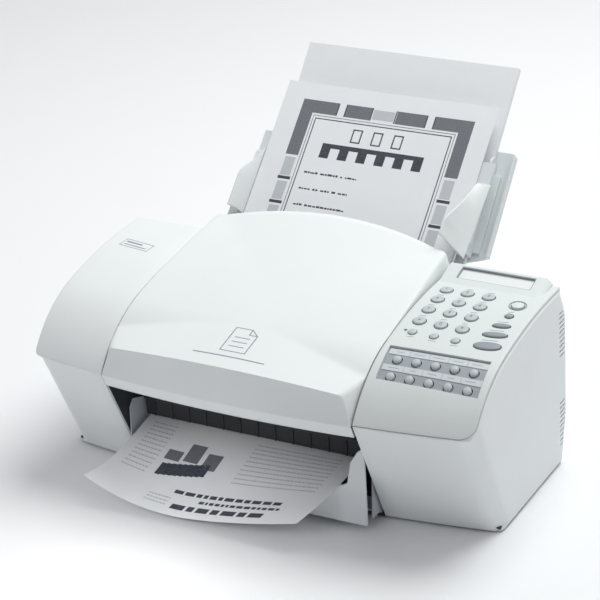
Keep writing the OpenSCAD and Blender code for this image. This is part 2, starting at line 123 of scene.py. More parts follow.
class Surface:
    """A Principled material with the wiring that all the materials here share."""

    def __init__(self, name, **inputs):
        self.material = bpy.data.materials.new(name)
        self.material.use_nodes = True
        self.nodes, self.links = self.material.node_tree.nodes, self.material.node_tree.links
        self.shader = fill(self.nodes["Principled BSDF"], inputs)
        self.place = self.nodes.new("ShaderNodeTexCoord").outputs["Object"]
        self.normal = None

    def texture(self, kind, place=None, **inputs):
        node = fill(self.nodes.new("ShaderNodeTex" + kind), inputs)
        self.links.new(place or self.place, node.inputs["Vector"])
        return node

    def tint(self, pattern, dark, light, start=0.0, end=1.0):
        ramp = self.nodes.new("ShaderNodeValToRGB")
        for stop, position, colour in zip(ramp.color_ramp.elements, (start, end), (dark, light)):
            stop.position, stop.color = position, colour + [1]
        self.links.new(pattern.outputs["Fac"], ramp.inputs["Fac"])
        self.links.new(ramp.outputs["Color"], self.shader.inputs["Base Color"])

    def gloss(self, pattern, low, high, start=0.0, end=1.0):
        node = self.nodes.new("ShaderNodeMapRange")
        fill(node, {"From_Min": start, "From_Max": end, "To_Min": low, "To_Max": high})
        self.links.new(pattern.outputs["Fac"], node.inputs["Value"])
        self.links.new(node.outputs["Result"], self.shader.inputs["Roughness"])

    def bump(self, pattern, strength, distance):
        """Each bump rides on the one made before it."""
        node = fill(self.nodes.new("ShaderNodeBump"), {"Strength": strength, "Distance": distance})
        self.links.new(pattern.outputs["Fac"], node.inputs["Height"])
        if self.normal:
            self.links.new(self.normal, node.inputs["Normal"])
        self.normal = node.outputs["Normal"]
        self.links.new(self.normal, self.shader.inputs["Normal"])


def scaled(colour, factor):
    return [min(1, c * factor) for c in colour]


def moulded_plastic(name, colour, roughness, grain, grain_depth, mottle, wave=0.0):
    """Moulded plastic: spark-eroded grain, faint flow mottling and uneven gloss."""
    look = Surface(name, Specular_IOR_Level=0.32)
    cloud = look.texture("Noise", Scale=14.0, Detail=4.0, Roughness=0.55)
    look.tint(cloud, scaled(colour, 1 - mottle), scaled(colour, 1 + mottle), 0.3, 0.7)
    smear = look.texture("Noise", Scale=38.0, Detail=6.0, Roughness=0.6)
    look.gloss(smear, roughness - 0.06, roughness + 0.08, 0.3, 0.7)
    look.bump(look.texture("Noise", Scale=grain, Detail=2.0, Roughness=0.7), grain_depth * 4, 0.00008)
    if wave:
        look.bump(look.texture("Noise", Scale=9.0, Detail=1.0), wave, 0.001)
    return look.material


def rubber(name, colour, stripes=0.0):
    """Matt rubber with fine ground-in grit, ribbed when stripes is given."""
    look = Surface(name, Roughness=0.82)
    grit = look.texture("Noise", Scale=900.0, Detail=4.0)
    look.tint(grit, scaled(colour, 0.7), scaled(colour, 1.5))
    look.bump(look.texture("Wave", Scale=stripes, Distortion=0.0) if stripes else grit, 0.6, 0.0002)
    return look.material


def brushed_metal(name, colour):
    """Ground steel with long fine scratches."""
    look = Surface(name, Base_Color=colour + [1], Metallic=1.0)
    stretch = fill(look.nodes.new("ShaderNodeMapping"), {"Scale": (6.0, 900.0, 900.0)})
    look.links.new(look.place, stretch.inputs["Vector"])
    lines = look.texture("Noise", stretch.outputs["Vector"], Scale=2.0, Detail=5.0)
    look.gloss(lines, 0.18, 0.42)
    look.bump(lines, 0.25, 0.00005)
    return look.material


def paper(name, colour):
    """Uncoated paper: felt-side fibre, slight cloudiness and a soft matt surface."""
    look = Surface(name, Roughness=0.78, Specular_IOR_Level=0.3)
    look.tint(look.texture("Noise", Scale=60.0, Detail=3.0), scaled(colour, 0.97), scaled(colour, 1.015))
    look.bump(look.texture("Noise", Scale=420.0, Detail=6.0, Roughness=0.7), 0.3, 0.00006)
    return look.material


def printed_ink(name, colour):
    """Ink laid on paper, slightly uneven in strength."""
    look = Surface(name, Roughness=0.6)
    speck = look.texture("Noise", Scale=500.0, Detail=3.0)
    look.tint(speck, colour, [lerp(c, 0.6, 0.075) for c in colour], 0.3, 0.75)
    return look.material


def circuit_board(name):
    """Green solder mask with a fine pattern of tracks."""
    look = Surface(name, Roughness=0.35)
    cells = look.texture("Brick", Scale=90.0, Mortar_Size=0.03, Color1=(0.012, 0.10, 0.04, 1),
                         Color2=(0.016, 0.13, 0.05, 1), Mortar=(0.10, 0.30, 0.14, 1))
    look.links.new(cells.outputs["Color"], look.shader.inputs["Base Color"])
    look.bump(cells, 0.4, 0.0001)
    return look.material


def liquid_crystal(name):
    """Pale grey-green display glass over a faint dot matrix."""
    look = Surface(name, Roughness=0.12, Coat_Weight=0.5, Coat_Roughness=0.05)
    dots = look.texture("Brick", Scale=420.0, Mortar_Size=0.02, Color1=(0.84, 0.87, 0.86, 1),
                        Color2=(0.82, 0.85, 0.84, 1), Mortar=(0.76, 0.80, 0.79, 1))
    look.links.new(dots.outputs["Color"], look.shader.inputs["Base Color"])
    return look.material


shell_mat = moulded_plastic("shell_plastic", [0.785, 0.82, 0.82], 0.52, 2600, 0.05, 0.012, wave=0.05)
panel_mat = moulded_plastic("panel_plastic", [0.68, 0.72, 0.715], 0.46, 3200, 0.04, 0.012)
key_mat = moulded_plastic("key_plastic", [0.50, 0.54, 0.55], 0.38, 3600, 0.03, 0.02)
dark_key_mat = moulded_plastic("function_key_plastic", [0.30, 0.33, 0.35], 0.4, 3600, 0.03, 0.02)
touch_mat = moulded_plastic("touch_key_plastic", [0.50, 0.53, 0.55], 0.4, 3600, 0.03, 0.02)
strip_mat = moulded_plastic("strip_plastic", [0.34, 0.37, 0.40], 0.5, 3000, 0.06, 0.03)
label_mat = moulded_plastic("label_plastic", [0.60, 0.64, 0.66], 0.35, 3000, 0.03, 0.015)
tray_mat = moulded_plastic("tray_plastic", [0.70, 0.74, 0.75], 0.42, 2400, 0.05, 0.015)
base_mat = moulded_plastic("base_plastic", [0.58, 0.62, 0.65], 0.55, 2200, 0.07, 0.03)
inner_mat = moulded_plastic("inner_plastic", [0.045, 0.05, 0.06], 0.5, 2200, 0.07, 0.08)
black_mat = moulded_plastic("black_plastic", [0.02, 0.022, 0.026], 0.35, 2600, 0.06, 0.1)
# Near-black used only as painted shade: in the seam gaps and under the key holes
painted_shade_mat = moulded_plastic("seam_shadow", [0.01, 0.011, 0.013], 0.7, 2000, 0.02, 0.1)
mark_mat = printed_ink("mark_ink", [0.28, 0.31, 0.35])
digit_mat = printed_ink("digit_ink", [0.16, 0.18, 0.20])
ink_mat = printed_ink("page_ink", [0.035, 0.04, 0.06])
band_mat = printed_ink("band_ink", [0.15, 0.16, 0.18])
grey_ink_mat = printed_ink("page_grey_ink", [0.52, 0.56, 0.58])
paper_mat = paper("white_paper", [0.84, 0.86, 0.875])
roller_mat = rubber("roller_rubber", [0.035, 0.035, 0.038], 300.0)
belt_mat = rubber("belt_rubber", [0.02, 0.02, 0.022], 500.0)
feet_mat = rubber("feet_rubber", [0.06, 0.06, 0.065])
steel_mat = brushed_metal("ground_steel", [0.62, 0.63, 0.65])
board_mat = circuit_board("green_board")
lcd_mat = liquid_crystal("liquid_crystal")


# ---- piece helpers --------------------------------------------------------------------------
def shade(mesh, angle):
    for polygon in mesh.polygons:
        polygon.use_smooth = True
    mesh.set_sharp_from_angle(angle=math.radians(angle))


def new_object(name, verts, faces, weld=False):
    """A loose mesh object from vertices in millimetres, its faces turned outwards."""
    mesh = bpy.data.meshes.new(name)
    mesh.from_pydata([tuple(c * MM for c in v) for v in verts], [], faces)
    shell = bmesh.new()
    if weld:
        mesh.validate()
    shell.from_mesh(mesh)
    if weld:
        bmesh.ops.remove_doubles(shell, verts=shell.verts, dist=1e-7)
    bmesh.ops.recalc_face_normals(shell, faces=shell.faces)
    shell.to_mesh(mesh)
    shell.free()
    piece = bpy.data.objects.new(name, mesh)
    bpy.context.scene.collection.objects.link(piece)
    return piece


def mesh_piece(name, verts, faces, material, body="chassis", slot=None, nodes=(), angle=35):
    """A finished piece that rides on a body and replaces CAD nodes."""
    piece = new_object(name, verts, faces, weld=True)
    shade(piece.data, angle)
    piece.data.materials.append(material)
    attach(piece, body)
    if nodes:
        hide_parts(*nodes)
    return piece


def grid_faces(rows, cols, wrap_rows=False, wrap_cols=False):
    """Quads of a grid stored row by row; a wrapped direction closes on itself."""
    faces = []
    for i in range(rows if wrap_rows else rows - 1):
        near, far = i * cols, (i + 1) % rows * cols
        for j in range(cols if wrap_cols else cols - 1):
            k = (j + 1) % cols
            faces.append((near + j, near + k, far + k, far + j))
    return faces


def bevel(piece, width, segments=2, angle=40):
    modifier = piece.modifiers.new("soft_edges", "BEVEL")
    modifier.width = width * MM
    modifier.segments = segments
    modifier.limit_method = "ANGLE"
    modifier.angle_limit = math.radians(angle)
    modifier.harden_normals = False
    modifier.use_clamp_overlap = True


def thicken(piece, wall, side):
    modifier = piece.modifiers.new("wall", "SOLIDIFY")
    modifier.thickness = wall * MM
    modifier.offset = side
    modifier.use_even_offset = True


def apply_modifiers(piece):
    bpy.context.view_layer.update()
    graph = bpy.context.evaluated_depsgraph_get()
    mesh = bpy.data.meshes.new_from_object(piece.evaluated_get(graph))
    piece.modifiers.clear()
    piece.data = mesh


def cut(piece, parts, angle):
    """Cuts closed parts out of a piece for good."""
    tool = new_object("tool", *parts)
    modifier = piece.modifiers.new("cut", "BOOLEAN")
    modifier.operation = "DIFFERENCE"
    modifier.solver = "EXACT"
    modifier.object = tool
    apply_modifiers(piece)
    bpy.data.objects.remove(tool)
    shade(piece.data, angle)


def as_is(x, y, z):
    return x, y, z


def rectangle(x0, y0, x1, y1):
    return [(x0, y0), (x1, y0), (x1, y1), (x0, y1)]


def prism(outline, place, low, high):
    """Vertices and faces of an outline raised between two heights and set in place by a function."""
    n = len(outline)
    verts = [place(x, y, z) for z in (low, high) for x, y in outline]
    sides = [(i, (i + 1) % n, n + (i + 1) % n, n + i) for i in range(n)]
    return verts, sides + [tuple(range(n))[::-1], tuple(range(n, 2 * n))]


def block(low, high, place=as_is):
    return prism(rectangle(*low[:2], *high[:2]), place, low[2], high[2])


def rim_loop(rows, cols):
    return ([j for j in range(cols)] + [i * cols + cols - 1 for i in range(1, rows)]
            + [(rows - 1) * cols + j for j in range(cols - 2, -1, -1)]
            + [i * cols for i in range(rows - 2, 0, -1)])


def layered_faces(rows, cols, layers):
    """Faces of a closed plate whose layers are equal grids, the first one on top."""
    size, last = rows * cols, (layers - 1) * rows * cols
    faces = grid_faces(rows, cols) + [tuple(last + i for i in face[::-1]) for face in grid_faces(rows, cols)]
    rim = rim_loop(rows, cols)
    for start in range(0, last, size):
        for a, b in zip(rim, rim[1:] + rim[:1]):
            faces.append((start + a, start + b, start + size + b, start + size + a))
    return faces


def plate(place, us, vs, low, high):
    """A closed plate over a grid of places, following the placing function's curve."""
    verts = [place(u, v, w) for w in (high, low) for v in vs for u in us]
    return verts, layered_faces(len(vs), len(us), 2)


def slab(place, u0, v0, u1, v1, low, high, step=6.0):
    nu, nv = max(1, round(abs(u1 - u0) / step)), max(1, round(abs(v1 - v0) / step))
    return plate(place, spread(u0, u1, nu), spread(v0, v1, nv), low, high)


def patch(place, u0, v0, u1, v1, lift, step=8.0):
    """A thin printed rectangle that follows a sheet."""
    nu, nv = max(1, int(abs(u1 - u0) / step)), max(1, int(abs(v1 - v0) / step))
    return plate(place, spread(u0, u1, nu), spread(v0, v1, nv), lift - INK_T, lift)


def stacked(loops, place):
    """A closed form through outlines of equal length at their heights, capped at both ends."""
    n = len(loops[0][0])
    verts = [place(u, v, height) for outline, height in loops for u, v in outline]
    ends = [tuple(range(n)), tuple(range(len(verts) - n, len(verts)))]
    return verts, grid_faces(len(loops), n, wrap_cols=True) + ends


def joined(parts):
    """One vertex and face list from several."""
    verts, faces = [], []
    for part_verts, part_faces in parts:
        start = len(verts)
        verts += part_verts
        faces += [tuple(start + i for i in face) for face in part_faces]
    return verts, faces


def pill_outline(length, width, n=32):
    """Full oval outline; a circle when length and width agree."""
    power = 1.0 if length == width else 0.86
    points = []
    for i in range(n):
        a = 360 * (i + 0.5) / n
        points.append((math.copysign(abs(cos(a)) ** power, cos(a)) * length / 2,
                       math.copysign(abs(sin(a)) ** power, sin(a)) * width / 2))
    return points


def rounded_box_outline(w, d, r, n=5):
    points = []
    for cx, cy, a0 in ((1, 1, 0), (-1, 1, 90), (-1, -1, 180), (1, -1, 270)):
        for i in range(n + 1):
            a = a0 + 90 * i / n
            points.append((cx * (w / 2 - r) + r * cos(a), cy * (d / 2 - r) + r * sin(a)))
    return points


# ---- casing form, as in the CAD source ------------------------------------------------------
NOSE_Y, NOSE_Z = -178.0, 116.0
BASE_FRONT = -124.5
BROW_R, CROWN_R, LID_CROWN_R = 110.0, 415.0, 1253.0
NOSE_SLOPE, BREAK_SLOPE = 56.5, 13.0
AXIS_Y = NOSE_Y + 1271.0
HALF_W = box_mm("right_housing")[1].x
SEAM_L, SEAM_R, SEAM_GAP = -136.6, 109.6, 0.8
BREAK_Y = NOSE_Y + BROW_R * (sin(NOSE_SLOPE) - sin(BREAK_SLOPE))
BREAK_Z = NOSE_Z + BROW_R * (cos(BREAK_SLOPE) - cos(NOSE_SLOPE))
BROW_CY, BROW_CZ = NOSE_Y + BROW_R * sin(NOSE_SLOPE), NOSE_Z - BROW_R * cos(NOSE_SLOPE)
CROWN_CY, CROWN_CZ = BREAK_Y + CROWN_R * sin(BREAK_SLOPE), BREAK_Z - CROWN_R * cos(BREAK_SLOPE)
TOP_Z = CROWN_CZ + CROWN_R
UNDER = math.degrees(math.atan((BASE_FRONT - NOSE_Y) / NOSE_Z))
FLOOR_Z = 2.0


def brow_point(a, lift=0.0):
    """Depth and height on the brow's arc where it slopes by a degrees, lifted off the form."""
    return BROW_CY - (BROW_R + lift) * sin(a), BROW_CZ + (BROW_R + lift) * cos(a)


def crown_point(a, lift=0.0):
    return CROWN_CY - (CROWN_R + lift) * sin(a), CROWN_CZ + (CROWN_R + lift) * cos(a)


def under_y(z):
    """Depth of the undercut front at a height."""
    return BASE_FRONT - z * math.tan(math.radians(UNDER))


def ring_to_y(ring, x):
    return AXIS_Y - math.sqrt((AXIS_Y - ring) ** 2 - x * x)


def ring_of(x, y):
    return AXIS_Y - math.hypot(x, AXIS_Y - y)


def slope_of_ring(ring):
    if ring < BREAK_Y:
        return math.degrees(math.asin((BROW_CY - ring) / BROW_R))
    if ring < CROWN_CY:
        return math.degrees(math.asin((CROWN_CY - ring) / CROWN_R))
    return 0.0


def form_z(x, y):
    ring = ring_of(x, y)
    if ring < BREAK_Y:
        return BROW_CZ + BROW_R * cos(slope_of_ring(ring))
    return CROWN_CZ + CROWN_R * cos(slope_of_ring(ring))


def on_surface(x, y, turn=0.0):
    """Placing function whose local Z is the casing's outward normal at a place in plan."""
    swing = math.degrees(math.atan(x / (AXIS_Y - y)))
    spin = (Matrix.Rotation(math.radians(swing), 3, "Z")
            @ Matrix.Rotation(math.radians(slope_of_ring(ring_of(x, y))), 3, "X")
            @ Matrix.Rotation(math.radians(turn), 3, "Z"))
    origin = Vector((x, y, form_z(x, y)))
    return lambda u, v, w: tuple(origin + spin @ Vector((u, v, w)))


# ---- end housings ---------------------------------------------------------------------------
BROW_STEPS, CROWN_STEPS, CORNER_STEPS = 30, 14, 6
REAR_TOP_Y, REAR_Y, REAR_HIGH, REAR_LOW = 28.0, 41.0, 145.0, 45.0


def corner(before, point, after, reach):
    """A corner softened by a short curve that starts and ends a given reach away from it."""
    def towards(other):
        step = Vector(other) - Vector(point)
        return Vector(point) + step * min(reach / step.length, 0.49)

    a, b = towards(before), towards(after)
    return [tuple(bent(a, Vector(point), b, t)) for t in spread(0, 1, CORNER_STEPS)]


def section(front, top, rear, low):
    """Side outline of an end housing, each side moved in by its own distance.

    Returns (y, z, bowed, zone) points, zone saying which side a point belongs to."""
    dip = BROW_R * sin(NOSE_SLOPE - UNDER) - front
    nose_a = UNDER + math.degrees(math.asin(dip / (BROW_R - top)))
    brow = [brow_point(a, -top) for a in spread(nose_a, BREAK_SLOPE, BROW_STEPS)]
    crown = [crown_point(a, -top) for a in spread(BREAK_SLOPE, 0, CROWN_STEPS)][1:]
    foot = (under_y(FLOOR_Z + low) + front / cos(UNDER), FLOOR_Z + low)
    back_top = (REAR_TOP_Y - rear, TOP_Z - top)
    back_high = (REAR_Y - rear, REAR_HIGH)
    back_low = (REAR_Y - rear, REAR_LOW)
    heel = (REAR_TOP_Y + 2 - rear, FLOOR_Z + low)
    points = [(y, z, True, "low" if i < 3 else "front")
              for i, (y, z) in enumerate(corner(heel, foot, brow[0], 2.0))]
    for t in (0.2, 0.4, 0.6, 0.8):
        points.append((lerp(foot[0], brow[0][0], t), lerp(foot[1], brow[0][1], t), True, "front"))
    points += [(y, z, True, "front" if i < 3 else "top")
               for i, (y, z) in enumerate(corner(foot, brow[0], brow[1], 2.6))]
    points += [(y, z, True, "top") for y, z in brow[2:] + crown]
    points += [(y, z, False, "top") for y, z in corner(crown[-1], back_top, back_high, 4.0)]
    points += [(y, z, False, "rear") for y, z in corner(back_top, back_high, back_low, 8.0)]
    points += [(y, z, False, "rear") for y, z in corner(back_high, back_low, heel, 8.0)]
    points += [(y, z, False, "low") for y, z in corner(back_low, heel, foot, 2.0)]
    return points


EDGE_R = {"front": 17.0, "top": 5.0, "rear": 7.0, "low": 3.0}
ROUND_STEPS = 9


def smoothed_radii():
    """Edge radius for every outline point, eased where one side gives way to the next."""
    raw = [EDGE_R[p[3]] for p in section(0, 0, 0, 0)]
    n = len(raw)
    for _ in range(5):
        raw = [(raw[i - 1] + 2 * raw[i] + raw[(i + 1) % n]) / 4 for i in range(n)]
    return raw


def housing(name, side, inner_x):
    """Closed end housing from its seam side out to its softly rounded outer face."""
    radii = smoothed_radii()
    columns = []

    def column(inset, reach):
        outline = section(*[inset * EDGE_R[k] for k in ("front", "top", "rear", "low")])
        points = []
        for (y, z, bowed, _), r in zip(outline, radii):
            x = side * reach(r)
            points.append((x, ring_to_y(y, x) if bowed else y, z))
        return points

    seam = abs(inner_x)
    columns.append(column(0.16, lambda r: seam))
    columns.append(column(0.03, lambda r: seam + 0.25))
    columns.append(column(0.0, lambda r: seam + 0.9))
    for t in spread(0, 1, 5)[1:]:
        columns.append(column(0.0, lambda r: lerp(seam + 0.9, HALF_W - r, t)))
    for i in range(1, ROUND_STEPS + 1):
        a = 90 * i / ROUND_STEPS
        columns.append(column(1 - cos(a), lambda r: HALF_W - r + r * sin(a)))
    rows, cols = len(columns), len(radii)
    verts = [v for points in columns for v in points]
    faces = grid_faces(rows, cols, wrap_cols=True)
    faces.append(tuple(range(cols)))
    faces.append(tuple(range((rows - 1) * cols, rows * cols)))
    return mesh_piece(name, verts, faces, shell_mat, "chassis", "shell_plastic", [name], angle=50)


left = housing("left_housing", -1, SEAM_L)
right = housing("right_housing", 1, SEAM_R + SEAM_GAP)


def vents():
    """Two banks of slanting slots across the rear corner of a housing."""
    parts = []
    for low in (20.0, 108.0):
        for i in range(10):
            spin = Matrix.Rotation(math.radians(-12), 3, "Y")
            centre = Vector((HALF_W - 3, REAR_Y - 3, low + 4.6 * i))
            parts.append(block((-11, -16, -0.9), (11, 12, 0.9),
                               lambda u, v, w, c=centre, s=spin: tuple(c + s @ Vector((u, v, w)))))
    return joined(parts)


def sockets():
    """Holes for the two line sockets in the left housing's back."""
    return joined([block((x - 7, 26, 62), (x + 7, 60, 74)) for x in (-188, -162)])


def side_slots():
    return joined([block((-HALF_W - 4, 2, 96 + 5 * i), (-HALF_W + 2.2, 27, 98 + 5 * i)) for i in range(10)])


INLET_LOW, INLET_HIGH = (157.8, 14, 59.8), (182.2, 60, 74.2)
cut(right, vents(), 50)
cut(right, block(INLET_LOW, INLET_HIGH), 50)
cut(left, sockets(), 50)
cut(left, side_slots(), 50)

# ---- centre lid -----------------------------------------------------------------------------
LID_L, LID_R = SEAM_L + SEAM_GAP, SEAM_R - SEAM_GAP
LID_MID = (LID_L + LID_R) / 2
LID_REAR_Y, LID_REAR_R, LID_TOP_Z, LID_ARCH_R = 50.0, 396.0, 196.0, 900.0
LID_LIP_Z = 103.0
LID_COLUMNS = 56
ARCH_SLOPE = math.atan((LID_TOP_Z - BREAK_Z) / (LID_REAR_Y - BREAK_Y))
LID_CY, LID_CZ = BREAK_Y + LID_CROWN_R * sin(BREAK_SLOPE), BREAK_Z - LID_CROWN_R * cos(BREAK_SLOPE)
CHEEK_RUN, CHEEK_RISE = 6.0, 14.0


def soft_max(a, b, blend):
    """The larger of two heights, with a fillet where they cross."""
    fillet = blend / 2 * math.exp(-abs(a - b) / blend)
    return (a + b + math.sqrt((a - b) ** 2 + blend * blend)) / 2 - fillet


def lid_z(x, y):
    ring = ring_of(x, y)
    if ring < BREAK_Y:
        base = BROW_CZ + BROW_R * cos(slope_of_ring(ring))
    else:
        base = LID_CZ + math.sqrt(LID_CROWN_R ** 2 - (LID_CY - ring) ** 2)
    line = LID_TOP_Z - (LID_REAR_Y - y) * math.tan(ARCH_SLOPE)
    arch = line - (x - LID_MID) ** 2 / (2 * LID_ARCH_R) / math.cos(ARCH_SLOPE)
    return soft_max(base, arch, 3.0)


def lid_rear(x):
    return LID_REAR_Y - LID_REAR_R + math.sqrt(LID_REAR_R ** 2 - (x - LID_MID) ** 2)


def lid_piece():
    """The lid from its lip under the nose, over the brow and crown, to its arched rear edge.

    A row is ("under", depth, height), ("ring", depth, 0) or ("rear", share of the way back, 0)."""
    rows = [("under", under_y(z), z) for z in spread(LID_LIP_Z, NOSE_Z - 2.2, 4)]
    below = (NOSE_Y + 2.6 * sin(UNDER), NOSE_Z - 2.6 * cos(UNDER))
    above = brow_point(NOSE_SLOPE - 1.35)
    rows += [("under", y, z) for y, z in corner(below, (NOSE_Y, NOSE_Z), above, 9.0)]
    rows += [("ring", brow_point(a)[0], 0) for a in spread(NOSE_SLOPE - 3, BREAK_SLOPE, 26)]
    rows += [("rear", t, 0) for t in spread(0, 1, 34)[1:]]
    verts = []
    for kind, a, b in rows:
        def point(x):
            if kind == "under":
                return ring_to_y(a, x), b
            y = ring_to_y(a if kind == "ring" else BREAK_Y, x)
            if kind == "rear":
                y = lerp(y, lid_rear(x), a)
            return y, lid_z(x, y)

        def side(edge, inward):
            """The lid's cheek at one edge, from its foot to where it meets the top."""
            y, z = point(edge)
            level = z if kind == "under" else min(z, form_z(edge, y))
            rise = z - level
            run = CHEEK_RUN * rise / CHEEK_RISE
            soft = 1.2 + 1.8 * smooth(rise / 6)
            tip = (edge + inward * run, z)
            out = [(edge, y, level - drop * (kind != "under")) for drop in (9.0, 3.0)]
            foot = Vector((edge, level))
            peak = Vector(tip)
            slope = (peak - foot).normalized() if rise > 0.2 else Vector((0, 1))
            flat_x = tip[0] + inward * soft
            flat = Vector((flat_x, point(flat_x)[1]))
            start = peak - slope * min(soft, max(rise, 0.4))
            for t in spread(0, 1, 5):
                p = bent(start, peak, flat, t)
                out.append((p.x, point(p.x)[0], p.y))
            return out

        row, right_side = side(LID_L, 1), side(LID_R, -1)
        row += [(x, *point(x)) for x in spread(row[-1][0], right_side[-1][0], LID_COLUMNS)[1:-1]]
        row += right_side[::-1]
        if kind == "under":
            # The lip's ends turn straight in, so they have no cheek of their own.
            for k in range(8):
                row[k] = (LID_L + 0.18 * k, ring_to_y(a, LID_L), b)
                row[-1 - k] = (LID_R - 0.18 * k, ring_to_y(a, LID_R), b)
        verts += row
    cols = len(verts) // len(rows)
    piece = mesh_piece("top_lid", verts, grid_faces(len(rows), cols), shell_mat, "lid",
                       "shell_plastic", ["top_lid"], angle=60)
    thicken(piece, 2.2, -1)


lid_piece()

# ---- control panel --------------------------------------------------------------------------
PANEL_L, PANEL_R = SEAM_R + SEAM_GAP, HALF_W - 1.6
PANEL_LOW_A = NOSE_SLOPE - 0.9
PANEL_CORNER = 12.0
PANEL_LIFT = 0.9
PANEL_T = 3.4


def panel_plate(shells):
    """Curved plate with a rounded lower right corner, from (lift, shrink) layers top to bottom."""
    stations = []
    for a in spread(PANEL_LOW_A, BREAK_SLOPE, 44):
        stations.append((a, None, BROW_R * math.radians(PANEL_LOW_A - a)))
    run = stations[-1][2]
    for a in spread(BREAK_SLOPE, 0, 16)[1:]:
        stations.append((None, a, run + CROWN_R * math.radians(BREAK_SLOPE - a)))
    run = stations[-1][2]
    for y in spread(CROWN_CY, REAR_TOP_Y - 1.0, 8)[1:]:
        stations.append((None, y, run + y - CROWN_CY))
    flat_from = len(stations) - 8

    def point(i, u, lift, shrink):
        a, b, along = stations[i]
        reach = min(max(PANEL_CORNER - along, 0), PANEL_CORNER)
        corner_cut = PANEL_CORNER - math.sqrt(PANEL_CORNER ** 2 - reach ** 2)
        x = lerp(PANEL_L + shrink, PANEL_R - shrink - corner_cut, u)
        if a is not None:
            ring, z = brow_point(a if i else a - math.degrees(shrink / BROW_R), lift)
            return x, ring_to_y(ring, x), z
        if i < flat_from:
            ring, z = crown_point(b, lift)
            return x, ring_to_y(ring, x), z
        share = (i - flat_from + 1) / 8
        y = lerp(ring_to_y(CROWN_CY, x), REAR_TOP_Y - 0.6 - shrink, share)
        return x, y, TOP_Z + lift

    across = spread(0, 1, 44)
    rows, cols = len(stations), len(across)
    verts = [point(i, u, lift, shrink) for lift, shrink in shells for i in range(rows) for u in across]
    faces = layered_faces(rows, cols, len(shells))
    used = sorted({i for face in faces for i in face})
    index = {old: new for new, old in enumerate(used)}
    return [verts[i] for i in used], [tuple(index[i] for i in face) for face in faces]


KEY_D, SMALL_D, TOUCH_D = 12.0, 8.0, 9.0
KEY_GAP = 0.7                         # wider than a key's nominal size by this much
PITCH_X, PITCH_Y, TOUCH_PITCH = 19.9, 18.4, 17
NUMBER_NAMES = ["1", "2", "3", "4", "5", "6", "7", "8", "9", "star", "0", "hash"]
NUMBER_SPOTS = [(125.5 + PITCH_X * (i % 3), -14.8 - PITCH_Y * (i // 3)) for i in range(12)]
SMALL_NAMES = ["menu_key", "redial_key", "pause_key"]
SMALL_SPOTS = [(126.4 + PITCH_X * i, -86.2) for i in range(3)]
SIDE_NAMES = ["stop_key", "copy_key", "enter_key", "start_key", "fax_key"]
SIDE_SPOTS = [(194.5, y) for y in (-20.0, -38.6, -54.7, -68.6, -84.6)]
SIDE_SIZES = [(12, 12), (8, 8), (16, 7), (22, 8), (24, 11)]
TOUCH_SPOT, TOUCH_TURN = (161.7, -121.0), -4.0
TOUCH_RECESS = (90.0, 37.0)
TOUCH_SPOTS = [(TOUCH_PITCH * c + 0.4, y) for y in (3.8, -14.0) for c in range(-2, 3)]
LAMP_SPOT = (119.6, -85.0)


touch_place = on_surface(*TOUCH_SPOT, TOUCH_TURN)


def touch_curve(u, v, w):
    """A place in the one-touch recess, following the panel's curve, w above the casing form."""
    x, y, _ = touch_place(u, v, 0)
    return on_surface(x, y, TOUCH_TURN)(0, 0, w)


def touch_spot_place(u, v):
    x, y, _ = touch_place(u, v, 0)
    return on_surface(x, y, TOUCH_TURN)


keys = []
for name, spot in zip(NUMBER_NAMES, NUMBER_SPOTS):
    keys.append(("number_key_" + name, on_surface(*spot), (KEY_D, KEY_D), "number"))
for name, spot in zip(SMALL_NAMES, SMALL_SPOTS):
    keys.append((name, on_surface(*spot), (SMALL_D, SMALL_D), "small"))
for name, spot, size in zip(SIDE_NAMES, SIDE_SPOTS, SIDE_SIZES):
    keys.append((name, on_surface(*spot), size, "side"))
for i, (dx, dy) in enumerate(TOUCH_SPOTS):
    keys.append(("one_touch_key_%d" % (i + 1), touch_spot_place(dx, dy), (TOUCH_D, TOUCH_D), "touch"))

BACK_LOW = -7.0
cut(right, panel_plate([(5.0, -0.45), (BACK_LOW, -0.45)]), 50)
# Dark plate below the panel, seen through the key holes: painted shade in the holes
mesh_piece("panel_hole_shade", *panel_plate([(BACK_LOW + 0.8, 0.3), (BACK_LOW + 0.3, 0.3)]), painted_shade_mat, "chassis",
           "dark_plastic", angle=40)
shells = [(PANEL_LIFT, 0.55), (PANEL_LIFT - 0.16, 0.16), (PANEL_LIFT - 0.55, 0.0), (-PANEL_T, 0.0)]
panel = mesh_piece("control_panel", *panel_plate(shells), panel_mat, "chassis", "panel_plastic",
                   ["control_panel"], angle=40)
holes = [prism(pill_outline(length + KEY_GAP, width + KEY_GAP), place, -9.0, 6.0)
         for _, place, (length, width), _ in keys]
holes.append(prism(pill_outline(3.0, 3.0, 20), on_surface(*LAMP_SPOT), -9.0, 6.0))
RECESS_U, RECESS_V = TOUCH_RECESS[0] / 2, TOUCH_RECESS[1] / 2
RECESS_FLOOR = -1.9
cut(panel, slab(touch_curve, -RECESS_U, -RECESS_V, RECESS_U, RECESS_V, RECESS_FLOOR, 5.0), 40)
cut(panel, joined(holes), 40)


# For each kind of key: how much smaller than nominal, height, dome, slot and material
KEY_KINDS = {
    "number": (1.0, 2.6, 0.4, "number_plastic", key_mat),
    "small": (0.6, 2.3, 0.4, "function_plastic", key_mat),
    "side": (1.0, 2.3, 0.5, "function_plastic", dark_key_mat),
    "touch": (1.6, 0.9, 0.8, "touch_plastic", touch_mat),
}


